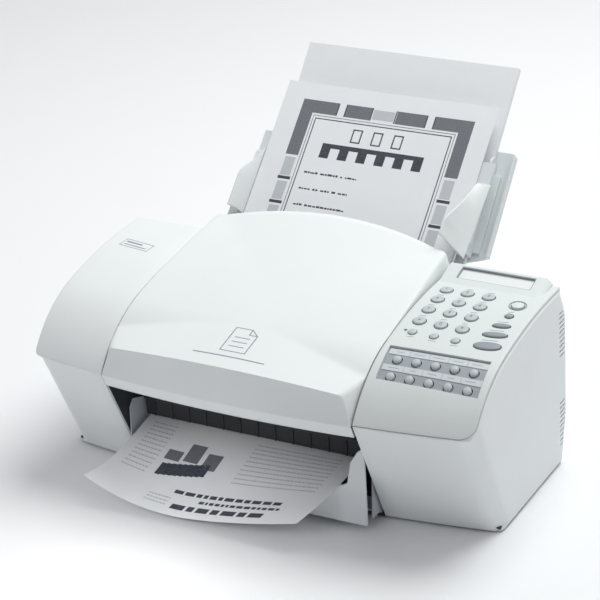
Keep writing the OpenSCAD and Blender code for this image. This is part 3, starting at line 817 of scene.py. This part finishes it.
def key_cap(name, place, size, kind):
    """Domed key cap with a soft rim, standing in its hole."""
    slack, tall, dome, slot, material = KEY_KINDS[kind]
    length, width = size[0] - slack, size[1] - slack
    r = width / 2
    rings = [(0.0, -4.0), (0.0, tall - 1.0)]
    rings += [(0.8 * (1 - cos(a)), tall - 1.0 + 0.8 * sin(a)) for a in (25, 50, 75)]
    for t in (0.3, 0.5, 0.72, 0.92):
        rings.append((r * t, tall - 0.2 + dome * (1 - (1 - t) ** 2)))
    loops = [(pill_outline(length - 2 * inset, width - 2 * inset, 40), height) for inset, height in rings]
    material = panel_mat if name == "stop_key" else material
    mesh_piece(name, *stacked(loops, place), material, name, slot, [name], angle=55)


for key in keys:
    key_cap(*key)

FIGURE_SCALE = 0.8
# Strokes of each figure on a 2 by 4 grid: the corners that the pen visits
FIGURES = {
    "1": [[(0.6, 3.2), (1.1, 4), (1.1, 0)]],
    "2": [[(0, 3.4), (0.5, 4), (1.5, 4), (2, 3.3), (2, 2.6), (0, 0), (2, 0)]],
    "3": [[(0, 4), (2, 4), (1, 2.4), (1.7, 2.2), (2, 1.2), (1.5, 0), (0.4, 0), (0, 0.5)]],
    "4": [[(1.5, 0), (1.5, 4), (0, 1.2), (2, 1.2)]],
    "5": [[(2, 4), (0.2, 4), (0, 2.2), (1.4, 2.4), (2, 1.4), (1.6, 0.2), (0, 0)]],
    "6": [[(1.8, 4), (0.6, 3), (0, 1.4), (0.5, 0), (1.5, 0), (2, 1.1), (1.4, 2.1), (0.2, 1.8)]],
    "7": [[(0, 4), (2, 4), (0.8, 0)]],
    "8": [[(1, 2.2), (0.1, 3.1), (0.6, 4), (1.4, 4), (1.9, 3.1), (1, 2.2), (0, 1), (0.6, 0), (1.4, 0),
           (2, 1), (1, 2.2)]],
    "9": [[(0.2, 0), (1.4, 1), (2, 2.7), (1.5, 4), (0.5, 4), (0, 3), (0.6, 2), (1.8, 2.3)]],
    "0": [[(0.6, 0), (0, 1.2), (0, 2.8), (0.6, 4), (1.4, 4), (2, 2.8), (2, 1.2), (1.4, 0), (0.6, 0)]],
    "star": [[(1, 3.2), (1, 0.8)], [(0, 2.6), (2, 1.4)], [(0, 1.4), (2, 2.6)]],
    "hash": [[(0.6, 0.5), (0.8, 3.5)], [(1.3, 0.5), (1.5, 3.5)], [(0, 1.4), (2, 1.4)], [(0, 2.6), (2, 2.6)]],
}


def stroke_parts(path, width, place, low, high):
    """Flat ribbons along the legs of a pen path."""
    parts = []
    for (x0, y0), (x1, y1) in zip(path, path[1:]):
        leg = Vector((x1 - x0, y1 - y0))
        if leg.length < 1e-6:
            continue
        along = leg.normalized() * width / 2
        side = Vector((-along.y, along.x))
        a, b = Vector((x0, y0)) - along, Vector((x1, y1)) + along
        outline = [tuple(a - side), tuple(b - side), tuple(b + side), tuple(a + side)]
        parts.append(prism(outline, place, low, high))
    return parts


def key_figure(name, place):
    _, tall, dome, slot, _ = KEY_KINDS["number"]
    parts = []
    for path in FIGURES[name]:
        legs = [((x - 1) * FIGURE_SCALE, (y - 2) * FIGURE_SCALE) for x, y in path]
        parts += stroke_parts(legs, 0.42, place, tall - 0.2, tall + dome - 0.15)
    mesh_piece("figure_" + name, *joined(parts), digit_mat, "number_key_" + name, slot, angle=30)


for name, spot in zip(NUMBER_NAMES, NUMBER_SPOTS):
    key_figure(name, on_surface(*spot))

# Ring around the stop key
ring_place = on_surface(*SIDE_SPOTS[0])
ring_profile = [(7.1, 0.6), (7.1, 1.4), (7.3, 1.6), (7.7, 1.6), (7.9, 1.4), (7.9, 0.6)]
ring_verts = [ring_place(r * cos(a), r * sin(a), h) for a in spread(0, 360, 48)[:-1] for r, h in ring_profile]
mesh_piece("stop_ring", ring_verts, grid_faces(48, len(ring_profile), wrap_rows=True, wrap_cols=True),
           dark_key_mat, "chassis", "function_plastic", angle=30)

lamp_loops = [(pill_outline(2.7 - 2 * inset, 2.7 - 2 * inset, 20), height)
              for inset, height in ((0, -2.0), (0, 0.8), (0.3, 1.2), (0.8, 1.45))]
mesh_piece("ready_lamp", *stacked(lamp_loops, on_surface(*LAMP_SPOT)), digit_mat, "chassis",
           "function_plastic", angle=50)


def touch_insert():
    """Grey insert of the one-touch recess with its two raised label strips."""
    low, high = RECESS_FLOOR + 0.05, RECESS_FLOOR + 0.5
    edge_u, edge_v = RECESS_U - 0.4, RECESS_V - 0.4
    piece = mesh_piece("one_touch_insert", *slab(touch_curve, -edge_u, -edge_v, edge_u, edge_v, low, high),
                       strip_mat, "chassis", "panel_plastic", angle=40)
    hole_parts = [prism(pill_outline(TOUCH_D + 0.1, TOUCH_D + 0.1), touch_spot_place(dx, dy), -8.0, 4.0)
                  for dx, dy in TOUCH_SPOTS]
    cut(piece, joined(hole_parts), 40)
    labels, lines = [], []
    for v0, v1 in ((9.9, 17.0), (-8.1, -1.9)):
        for c in range(-2, 3):
            middle = TOUCH_PITCH * c
            u0 = middle + 0.4 - 8.4 - (2.0 if c == -2 else 0)
            u1 = middle + 0.4 + 8.4 + (1.4 if c == 2 else 0)
            labels.append(slab(touch_curve, u0, v0, u1, v1, high - 0.1, high + 0.45))
            half, mid = 2.5 + 2.5 * random.random(), (v0 + v1) / 2
            lines.append(slab(touch_curve, middle - half, mid - 0.22, middle + half, mid + 0.22,
                              high + 0.4, high + 0.49))
    label = mesh_piece("one_touch_labels", *joined(labels), label_mat, "chassis", "panel_plastic", angle=40)
    bevel(label, 0.2, 2, 60)
    mesh_piece("one_touch_label_lines", *joined(lines), mark_mat, "chassis", "panel_plastic", angle=30)


touch_insert()


SEAM_SINK, SEAM_DEEP = 1.2, 5.0


def seam_ribbon(name, x0, x1):
    """Dark strip sunk in the gap between the lid and a housing: painted shade that darkens the seam."""
    rows = [(under_y(z) + SEAM_SINK, z) for z in spread(LID_LIP_Z + 1, NOSE_Z - 1, 3)]
    rows += [brow_point(a, -SEAM_SINK) for a in spread(NOSE_SLOPE, BREAK_SLOPE, 20)]
    rows += [crown_point(a, -SEAM_SINK) for a in spread(BREAK_SLOPE, 0, 10)[1:]]
    rows.append((REAR_TOP_Y - 4, TOP_Z - SEAM_SINK))
    verts = []
    for y, z in rows:
        for x, deep in ((x0, 0.0), (x1, 0.0), (x1, SEAM_DEEP), (x0, SEAM_DEEP)):
            verts.append((x, ring_to_y(y, x) + deep * (z < NOSE_Z), z - deep * (z >= NOSE_Z)))
    count = len(rows)
    faces = grid_faces(count, 4, wrap_cols=True) + [(0, 1, 2, 3), tuple(range(4 * count - 4, 4 * count))]
    mesh_piece(name, verts, faces, painted_shade_mat, "chassis", "dark_plastic", angle=50)


seam_ribbon("left_seam_shade", SEAM_L - 0.6, SEAM_L + 0.15)
seam_ribbon("right_seam_shade", SEAM_R + 0.1, SEAM_R + 1.4)


def panel_print():
    """Short plain lines under the keys, standing for their captions."""
    parts = []

    def line(spot, half, up, width=0.55, sink=0.08):
        parts.extend(stroke_parts([(-half, up), (half, up)], width, on_surface(*spot), PANEL_LIFT - sink,
                                  PANEL_LIFT + 0.04))

    for spot in NUMBER_SPOTS[1:]:
        line(spot, 2.0 + random.random(), 8.6, 0.5, 0.05)
    for spot in SMALL_SPOTS:
        line(spot, 3, -6.3, 0.5)
    for spot, (length, width) in zip(SIDE_SPOTS[1:], SIDE_SIZES[1:]):
        line(spot, length * 0.28, width / 2 + 2.6)
    mesh_piece("panel_captions", *joined(parts), mark_mat, "chassis", "panel_plastic", angle=30)


panel_print()

# ---- display pod ----------------------------------------------------------------------------
POD_FRONT, POD_RIGHT, POD_TOP = -1.0, 207.0, 181.0
POD_SLOPE = math.degrees(math.atan((POD_TOP - TOP_Z) / (REAR_TOP_Y - POD_FRONT)))
WINDOW = (70.0, 16.0)
WINDOW_X, WINDOW_UP = 159.0, 17.0
WINDOW_DEEP = 3.0


def pod_place(u, v, w):
    spin = Matrix.Rotation(math.radians(POD_SLOPE), 3, "X")
    origin = Vector((WINDOW_X, POD_FRONT, TOP_Z + PANEL_LIFT * 0.5))
    return tuple(origin + spin @ Vector((u, v + WINDOW_UP, w)))


def display_pod():
    lift = PANEL_LIFT * 0.5
    foot = TOP_Z - 1.0
    side = [(POD_FRONT - 4.0, foot), (POD_FRONT - 4.0, TOP_Z + lift - 0.1), (POD_FRONT, TOP_Z + lift + 0.25),
            (REAR_TOP_Y - 3.0, POD_TOP + lift - 0.8), (REAR_TOP_Y - 0.4, POD_TOP + lift - 1.4),
            (REAR_TOP_Y - 0.4, foot)]
    low_side = [(max(y, POD_FRONT + 1.0), foot + (z - foot) * 0.42) for y, z in side]
    loops = [(side, PANEL_L + 1.0), (side, POD_RIGHT - 5.0), (low_side, POD_RIGHT)]
    pod = mesh_piece("display_pod", *stacked(loops, lambda y, z, x: (x, y, z)), panel_mat, "chassis",
                     "panel_plastic", angle=40)
    bevel(pod, 1.0, 3, 25)
    apply_modifiers(pod)
    cut(pod, prism(rounded_box_outline(*WINDOW, 1.2), pod_place, -WINDOW_DEEP, 6.0), 40)
    bevel(pod, 0.25, 2, 50)

    def inside(gap):
        return rounded_box_outline(WINDOW[0] - gap, WINDOW[1] - gap, 1.0)

    pane = prism(inside(0.5), pod_place, -WINDOW_DEEP + 0.05, -WINDOW_DEEP + 0.85)
    glass = mesh_piece("display_glass", *pane, lcd_mat, "chassis", "display_plastic", ["display_window"],
                       angle=40)
    bevel(glass, 0.3, 2)
    # A dark ring lining the window's walls: painted shade inside the display recess
    floor, brim = -WINDOW_DEEP + 0.3, -0.25
    loops = [(inside(gap), level) for gap, level in ((0.15, floor), (0.15, brim), (1.6, brim), (1.6, floor))]
    recess_shade_verts = [pod_place(x, y, level) for loop, level in loops for x, y in loop]
    mesh_piece("display_recess_shade", recess_shade_verts, grid_faces(4, len(loops[0][0]), wrap_rows=True, wrap_cols=True),
               dark_key_mat, "chassis", "panel_plastic", angle=30)


display_pod()


# ---- paper ----------------------------------------------------------------------------------
SHEET_W, SHEET_T = 215.9, 0.15
CHUTE_LEAN, STACK_LEAN = 48.0, 43.1
# Middle of the document's and of the stack's top edge
CHUTE_TOP = Vector((-6.0, 160.0, 274.7))
STACK_TOP = Vector((-3.5, 198.0, 301.0))
STACK_T = 6.0
DOCUMENT_L, STACK_L = 240.0, 279.4


def plane_place(origin, lean):
    """Placing function on a leaning sheet: u across, v down it from its top edge, w out of its front."""
    down = Vector((0, -sin(lean), -cos(lean)))
    out = Vector((0, -cos(lean), sin(lean)))
    return lambda u, v, w: tuple(origin + Vector((u, 0, 0)) + down * v + out * w)


chute = plane_place(CHUTE_TOP, CHUTE_LEAN)
tray = plane_place(STACK_TOP, STACK_LEAN)


def document_bend(u, v):
    """How far the loaded document stands off its plane: a slight lift at the corners and a soft bow."""
    free = smooth(1 - v / 110)
    return 0.25 + free * (1.6 * (u / 108) ** 2 + 0.9 * sin(60 + 70 * u / 108)) * 0.9


def document_surface(u, v, w):
    return chute(u, v, document_bend(u, v) + w)


def sheet_piece(name, surface, us, vs):
    """A sheet of paper on its own body, in place of the CAD node of the same name."""
    mesh_piece(name, *plate(surface, us, vs, 0.0, SHEET_T), paper_mat, name, "paper", [name], angle=60)


sheet_piece("document_sheet", document_surface, spread(-SHEET_W / 2, SHEET_W / 2, 30),
            spread(0, DOCUMENT_L, 40))


def ink_pieces(name, body, dark, band, grey):
    for kind, parts, material in (("ink", dark, ink_mat), ("band_ink", band, band_mat),
                                  ("grey_ink", grey, grey_ink_mat)):
        mesh_piece(name + "_" + kind, *joined(parts), material, body, "paper", angle=60)


def document_print():
    """A plain bordered form: blocks and bars with no words."""
    dark, grey, band = [], [], []
    left, right_edge, top = -87.0, 89.0, 17.0
    wide = 13.0

    def add(where, u0, v0, u1, v1):
        where.append(patch(document_surface, u0, v0, u1, v1, INK_LIFT))

    add(band, left, top, left + 37, top + wide)
    add(band, left + 46, top, left + 72, top + wide)
    add(grey, left + 74, top + 1.5, left + 96, top + wide - 1.5)
    add(band, left + 98, top, right_edge - 48, top + wide)
    add(band, right_edge - 39, top, right_edge, top + wide)
    for u in (left + 37, left + 45, left + 72, left + 96.5, right_edge - 48, right_edge - 40):
        add(dark, u, top, u + 1.1, top + wide)
    add(band, left, top + wide, left + wide, top + 58)
    add(band, right_edge - wide, top + wide, right_edge, top + 58)
    for edge in (left, right_edge - wide):
        v = top + 60
        while v < 150:
            add(grey, edge + 1.2, v + 0.6, edge + wide - 1.2, v + 19.5)
            add(dark, edge, v + 20.5, edge + wide, v + 23.5)
            v += 25
    for inset, line in ((wide + 2.0, 0.5), (wide + 4.6, 1.0)):
        add(dark, left + inset, top + inset, right_edge - inset, top + inset + line)
        add(dark, left + inset, top + inset, left + inset + line, 170)
        add(dark, right_edge - inset - line, top + inset, right_edge - inset, 170)
    # Three thin outlined boxes over a toothed strip
    middle = (left + right_edge) / 2 - 2
    for k in (-1, 0, 1):
        u0, u1, v0, v1, line = middle + 21 * k - 5.0, middle + 21 * k + 5.0, top + 24, top + 38, 1.3
        add(dark, u0, v0, u1, v0 + line)
        add(dark, u0, v1 - line, u1, v1)
        add(dark, u0, v0, u0 + line, v1)
        add(dark, u1 - line, v0, u1, v1)
    strip0, strip1 = middle - 52, middle + 52
    add(dark, strip0, top + 42, strip1, top + 46.5)
    pitch = (strip1 - strip0) / 5.5
    for k in range(6):
        add(dark, strip0 + pitch * k, top + 46.5, strip0 + pitch * (k + 0.5), top + 57)
    for k, length in enumerate((54, 50, 52)):
        v = top + 73 + 16.5 * k
        u = left + wide + 12
        end = u + length
        while u < end:
            word = 1.4 + 3.2 * random.random()
            rise = 0.8 * random.random()
            add(dark, u, v - rise, min(u + word, end), v + 1.3)
            u += word + 0.7 + (2.0 if random.random() < 0.2 else 0)
    ink_pieces("document", "document_sheet", dark, band, grey)


document_print()


def paper_stack():
    """Slices of a stack whose edges don't quite line up."""
    parts = []
    count = 14
    thick = STACK_T / count
    for i in range(count):
        dx, dv = random.uniform(-0.25, 0.25), random.uniform(0, 0.5)
        low, high = -STACK_T + i * thick, -STACK_T + (i + 0.93) * thick
        parts.append(plate(tray, spread(-SHEET_W / 2 + dx, SHEET_W / 2 + dx, 3),
                           spread(dv, STACK_L - 0.5, 4), low, high))
    mesh_piece("paper_stack", *joined(parts), paper_mat, "paper_stack", "paper", ["paper_stack"], angle=60)


paper_stack()

PAGE_MID, PAGE_EXIT, PAGE_Z = -20.0, -88.0, 50.1
PAGE_FRONT = box_mm("printed_page")[0].y + 1.0
PAGE_SLACK = 18.0                     # how far the curled sheet's middle moves to the left
PAGE_CURLED = 106.0                   # half the width that the curled sheet covers
BAR_LOW = 51.2                        # clears the page's whole travel


def page_front_z(x):
    """Height of the page's sagging front edge."""
    low_x, low_z = -55.0, 8.5
    if x < low_x:
        return low_z + 17.0 * ((low_x - x) / 80.0) ** 2.2
    return low_z + 21.5 * ((x - low_x) / 125.0) ** 1.5


def page_surface(u, v, w):
    """The page leaves the exit rollers flat and sags into a trough between the tray's sides."""
    v_exit = 10.0 - PAGE_EXIT
    t = max(v - v_exit, 0) / (10.0 - PAGE_FRONT - v_exit)
    ease = 0.55 * smooth(t) + 0.45 * t * t
    half = SHEET_W / 2
    x = PAGE_MID - PAGE_SLACK * t ** 2.5 + u * lerp(1.0, PAGE_CURLED / half, ease)
    return x, 10.0 - v, lerp(PAGE_Z, page_front_z(x), ease) + w


sheet_piece("printed_page", page_surface, spread(-SHEET_W / 2, SHEET_W / 2, 40),
            spread(0, 10.0 - PAGE_FRONT, 60))


def page_print():
    """Plain bars for lines of text and a block chart, with no words."""
    dark, grey, band = [], [], []
    front = 10.0 - PAGE_FRONT

    def bar(where, u0, d0, u1, d1):
        where.append(patch(page_surface, u0, front - d0, u1, front - d1, INK_LIFT, 3.0))

    def words(u0, u1, d, height, where):
        u = u0
        while u < u1:
            length = random.uniform(0.7, 2.2) * height * 1.3
            bar(where, u, d, min(u + length, u1), d + height)
            u += length + height * 0.6

    words(-28, 66, 7, 5.0, dark)
    words(-6, 76, 16, 2.6, dark)
    words(-36, 74, 22, 3.4, dark)
    for k in range(3):
        words(-56, -34, 9 + 3.4 * k, 1.3, grey)
    # A tilted bar chart: three solid blocks with paler tops on a dark plinth
    for k in range(9):
        bar(dark, -66 + 5 * k, 34 + 0.9 * k, -61 + 5 * k, 46 + 0.9 * k)
    for u0, d0, d1 in ((-68, 50, 60), (-50, 52, 70), (-30, 48, 64)):
        bar(band, u0, d0, u0 + 15, d1)
    for k in range(10):
        words(8, 92, 40 + 4.6 * k, 1.2, grey)
    for k in range(12):
        words(-98, -74, 32 + 4.6 * k, 1.2, grey)
    ink_pieces("page", "printed_page", dark, band, grey)


page_print()


def exit_bar():
    """Dark ribbed bar above the page's way out."""
    left_end, right_end, back = -129, 98, -112
    parts = [block((left_end, back - 3, BAR_LOW), (right_end, back, 84)),
             block((left_end, back - 6, 68), (right_end, back - 2, 71))]
    for k in range(13):
        x = -120 + 17.5 * k
        parts.append(block((x, back - 4, BAR_LOW), (x + 1.6, back, 66)))
    bar = mesh_piece("exit_bar", *joined(parts), black_mat, "chassis", "dark_plastic", angle=40)
    bevel(bar, 0.3, 1)


def mouth_lining():
    """Dark lining of the mouth's left wall, just inside the casing's undercut."""
    wall_x, low, high, deep = SEAM_L + 0.1, 6.0, 101.0, -60.0
    outline = [(ring_to_y(NOSE_Y + 7, wall_x) + 2.5, high), (ring_to_y(BASE_FRONT - 3, wall_x) + 2.5, low),
               (deep, low), (deep, high)]
    form = prism(outline, lambda y, z, x: (wall_x + x, y, z), 0.0, 0.5)
    lining = mesh_piece("mouth_lining", *form, inner_mat, "chassis", "dark_plastic", angle=40)
    bevel(lining, 0.15, 1)


def mouth_sill():
    """Pale front wall under the page, rising to a wing at the mouth's right."""
    start, end, low, front, thick = 40, SEAM_R - 1.5, 7, 150.0, 3.0
    outline = [(start, low), (end, low), (end, 84), (101, 78), (94, 66), (90.5, 46), (86, 43), (start, 37)]
    form = prism(outline, lambda x, z, y: (x, -y, z), front - thick, front)
    sill = mesh_piece("mouth_sill", *form, tray_mat, "chassis", "tray_plastic", angle=40)
    bevel(sill, 1.0, 3)


exit_bar()
mouth_lining()
mouth_sill()


# ---- guides and trays -----------------------------------------------------------------------
def guide_sail(name, side):
    """Curved document guide; the left one leans out, the right one is a broad sail curling in."""
    edge = side * (SHEET_W / 2 + 0.9)
    rows, cols = 34, 16
    front = []
    for i in range(rows):
        t = i / (rows - 1)
        s = lerp(72.0 if side < 0 else 76.0, 141.0, t)
        drop = 9.0 * t if side > 0 else 0.0
        if side < 0:
            rise = smooth(t / 0.55)
            foot, knee = (0.0, 0.5), (0.5 + rise, 8 * rise + 1)
            tip = (0.6 + 7.5 * rise, 1.2 + 17 * rise)
        else:
            rise = min(t / 0.75, 1.0) ** 0.9
            curl = 7.0 * smooth((t - 0.3) / 0.6)
            foot, knee = (13.5 - 3 * t, 0.6), (8.0 - 6 * rise, 2 + 8 * rise)
            tip = (0.2 - curl, 1.6 + 27 * rise)
        for j in range(cols):
            h = j / (cols - 1)
            out, up = (bent(foot[k], knee[k], tip[k], h) for k in (0, 1))
            front.append(chute(edge + side * out, s + drop * (1 - h), up))
    piece = mesh_piece(name, front, grid_faces(rows, cols), shell_mat, name, "shell_plastic", [name],
                       angle=60)
    thicken(piece, 2.0, 1 if side < 0 else -1)
    bevel(piece, 0.6, 3, 60)
    middle = side * (SHEET_W / 2 + 5.2)
    plate = mesh_piece(name + "_foot", *prism(rounded_box_outline(8.0, 64.0, 2.0),
                                              lambda u, v, w: chute(middle + u, 108 + v, w), 0.4, 2.0),
                       shell_mat, name, "shell_plastic", angle=40)
    bevel(plate, 0.4, 2)


guide_sail("document_guide_left", -1)
guide_sail("document_guide_right", 1)


def rounded_slab(name, outline, low, high, body, nodes=()):
    """A slab with soft edges on the tray, its heights measured from under the stack."""
    solid = prism(outline, tray, -STACK_T + low, -STACK_T + high)
    bevel(mesh_piece(name, *solid, tray_mat, body, "tray_plastic", nodes, angle=40), 0.8, 3)


def tray_outline():
    """Backrest outline as (u, v): wide above, narrower where it enters the machine, soft top corners."""
    points = []
    for cx, cy, a0 in ((121.5, 86.0, 0), (-115.5, 86.0, 90)):
        for i in range(7):
            a = a0 + 90 * i / 6
            points.append((cx + 6 * cos(a), cy - 6 * sin(a)))
    points += [(-121.5, 190), (-121.5, 281), (104.5, 281), (104.5, 190), (127.5, 182)]
    return points


rounded_slab("paper_tray", tray_outline(), -3.4, -0.5, "chassis", ["paper_tray"])
rim_outline = [(124.6, 84), (127.4, 84), (127.4, 182), (124.6, 184)]
rounded_slab("paper_tray_rim", rim_outline, -1.0, 4.0, "chassis")
rounded_slab("paper_tray_lip", rectangle(-121.0, 279.9, 104.0, 282.2), -3.2, 5.5, "chassis")
rib_parts = [block((u - 0.8, 96, -STACK_T - 5.4), (u + 0.8, 268, -STACK_T - 3.2), tray)
             for u in range(-96, 100, 24)]
ribs = mesh_piece("paper_tray_ribs", *joined(rib_parts), tray_mat, "chassis", "tray_plastic", angle=40)
bevel(ribs, 0.4, 2)


def width_guide():
    """Paper width guide: an upright fin with a rounded head and a thumb ledge."""
    outline = [(185, -STACK_T), (185, 8.5)]
    for i in range(13):
        a = 90 + 180 * i / 12
        outline.append((97 + 7.5 * cos(a), 1.4 + 7.4 * sin(a)))
    form = stacked([(outline, 108.6), (outline, 111.0)], lambda v, w, u: tray(u, v, w))
    fin = mesh_piece("paper_width_guide", *form, tray_mat, "width_guide", "tray_plastic",
                     ["paper_width_guide"], angle=40)
    bevel(fin, 0.5, 3)
    rounded_slab("paper_width_guide_foot", rectangle(110, 104, 118, 180), -0.1, 1.9, "width_guide")


width_guide()


# ---- marks ----------------------------------------------------------------------------------
def lid_place(x0, y0):
    def place(u, v, w):
        x, y = x0 + u, y0 + v * cos(30)
        return x, y - w * 0.5, lid_z(x, y) + w
    return place


def page_icon():
    """A generic mark: an outlined page over a plain bar."""
    place = lid_place(-12.0, -139.0)
    parts = []

    def fine(path):
        points = []
        for (x0, y0), (x1, y1) in zip(path, path[1:]):
            steps = max(1, int(math.hypot(x1 - x0, y1 - y0) / 2))
            points += [(lerp(x0, x1, k / steps), lerp(y0, y1, k / steps)) for k in range(steps)]
        return points + [path[-1]]

    sheet = [(-12, -16), (12, -16), (12, 12), (4, 20), (-12, 20), (-12, -16)]
    fold = [(4, 20), (4, 12), (12, 12)]
    for path in [sheet, fold] + [[(-7, v), (7, v)] for v in (-8, -1, 6)]:
        parts += stroke_parts(fine(path), 0.9, place, 0.02, 0.14)
    parts += stroke_parts(fine([(-34, -24), (34, -24)]), 1.3, place, 0.02, 0.14)
    mesh_piece("lid_mark", *joined(parts), mark_mat, "lid", "shell_plastic", angle=30)


page_icon()


def plain_badge():
    """A small blank badge: a thin frame with two bars."""
    place = on_surface(-181.0, -28.0)
    parts = []
    outline = [(-16, -6), (16, -6), (16, 6), (-16, 6), (-16, -6)]
    parts += stroke_parts(outline, 0.5, place, 0.0, 0.12)
    parts += stroke_parts([(-12, 2), (4, 2)], 2.2, place, 0.0, 0.12)
    parts += stroke_parts([(-12, -2.6), (12, -2.6)], 1.2, place, 0.0, 0.12)
    mesh_piece("badge", *joined(parts), mark_mat, "chassis", "shell_plastic", angle=30)


plain_badge()

# ---- CAD nodes that stay --------------------------------------------------------------------
# Material of each node, and how wide its edges are softened
KEPT = {
    "base_chassis": (inner_mat, 0.4), "rear_cover": (shell_mat, 1.4), "output_tray": (base_mat, 0.6),
    "document_tray": (tray_mat, 0.5), "document_roller": (roller_mat, 0.4), "feed_roller": (roller_mat, 0.5),
    "exit_roller": (roller_mat, 0.4), "scan_bar": (inner_mat, 0.8), "print_carriage": (black_mat, 1.0),
    "ink_cartridge": (black_mat, 0.8), "carriage_rod": (steel_mat, 0), "drive_belt": (belt_mat, 0),
    "stepper_motors": (steel_mat, 0), "main_board": (board_mat, 0.15), "keypad_circuit": (board_mat, 0),
    "power_inlet": (black_mat, 0.4), "rubber_feet": (feet_mat, 0.5), "screws": (steel_mat, 0),
}
for node, (material, softened) in KEPT.items():
    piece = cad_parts[node]
    for slot in piece.material_slots:
        slot.material = material
    if softened:
        bevel(piece, softened, 2, 35)

# ---- floor and light ------------------------------------------------------------------------
floor_mesh = bpy.data.meshes.new("floor")
floor_mesh.from_pydata([(-6, -6, 0), (6, -6, 0), (6, 6, 0), (-6, 6, 0)], [], [(0, 1, 2, 3)])
floor = bpy.data.objects.new("floor", floor_mesh)
bpy.context.scene.collection.objects.link(floor)
floor_mat = moulded_plastic("floor_paper", [0.86, 0.87, 0.88], 0.8, 300, 0.01, 0.004)
floor_mesh.materials.append(floor_mat)


def aimed_light(name, kind, place, aim, power, **settings):
    data = bpy.data.lights.new(name, kind)
    data.energy = power
    for key, value in settings.items():
        setattr(data, key, value)
    light = bpy.data.objects.new(name, data)
    light.location = place
    light.rotation_euler = (Vector(aim) - light.location).to_track_quat("-Z", "Y").to_euler()
    bpy.context.scene.collection.objects.link(light)


MODEL_MIDDLE = (0, 0, 0.1)
aimed_light("key_light", "AREA", (0.40, 0.72, 2.05), MODEL_MIDDLE, 36, shape="DISK", size=1.5,
            color=(0.97, 1.0, 0.985))
aimed_light("left_fill", "AREA", (-2.2, -0.8, 0.5), MODEL_MIDDLE, 5, shape="DISK", size=1.2)
aimed_light("page_light", "SPOT", (-0.06, -0.56, 0.24), (-0.05, -0.29, 0.0), 7.0,
            spot_size=math.radians(34), spot_blend=1.0, shadow_soft_size=0.12)
world = bpy.data.worlds.new("world")
world.use_nodes = True
sky_nodes, sky_links = world.node_tree.nodes, world.node_tree.links
sky = sky_nodes["Background"]
sky.inputs["Color"].default_value = (0.985, 0.965, 1.0, 1)
heading = sky_nodes.new("ShaderNodeTexCoord")
aim = sky_nodes.new("ShaderNodeVectorMath")
aim.operation = "DOT_PRODUCT"
aim.inputs[1].default_value = (0.1, 0.5, 0.86)
level = sky_nodes.new("ShaderNodeMapRange")
for key, value in (("From Min", -0.5), ("From Max", 1.0), ("To Min", 0.24), ("To Max", 0.60)):
    level.inputs[key].default_value = value
sky_links.new(heading.outputs["Generated"], aim.inputs[0])
sky_links.new(aim.outputs["Value"], level.inputs["Value"])
sky_links.new(level.outputs["Result"], sky.inputs["Strength"])
bpy.context.scene.world = world
bpy.context.scene.view_settings.view_transform = "Standard"

bpy.context.view_layer.update()
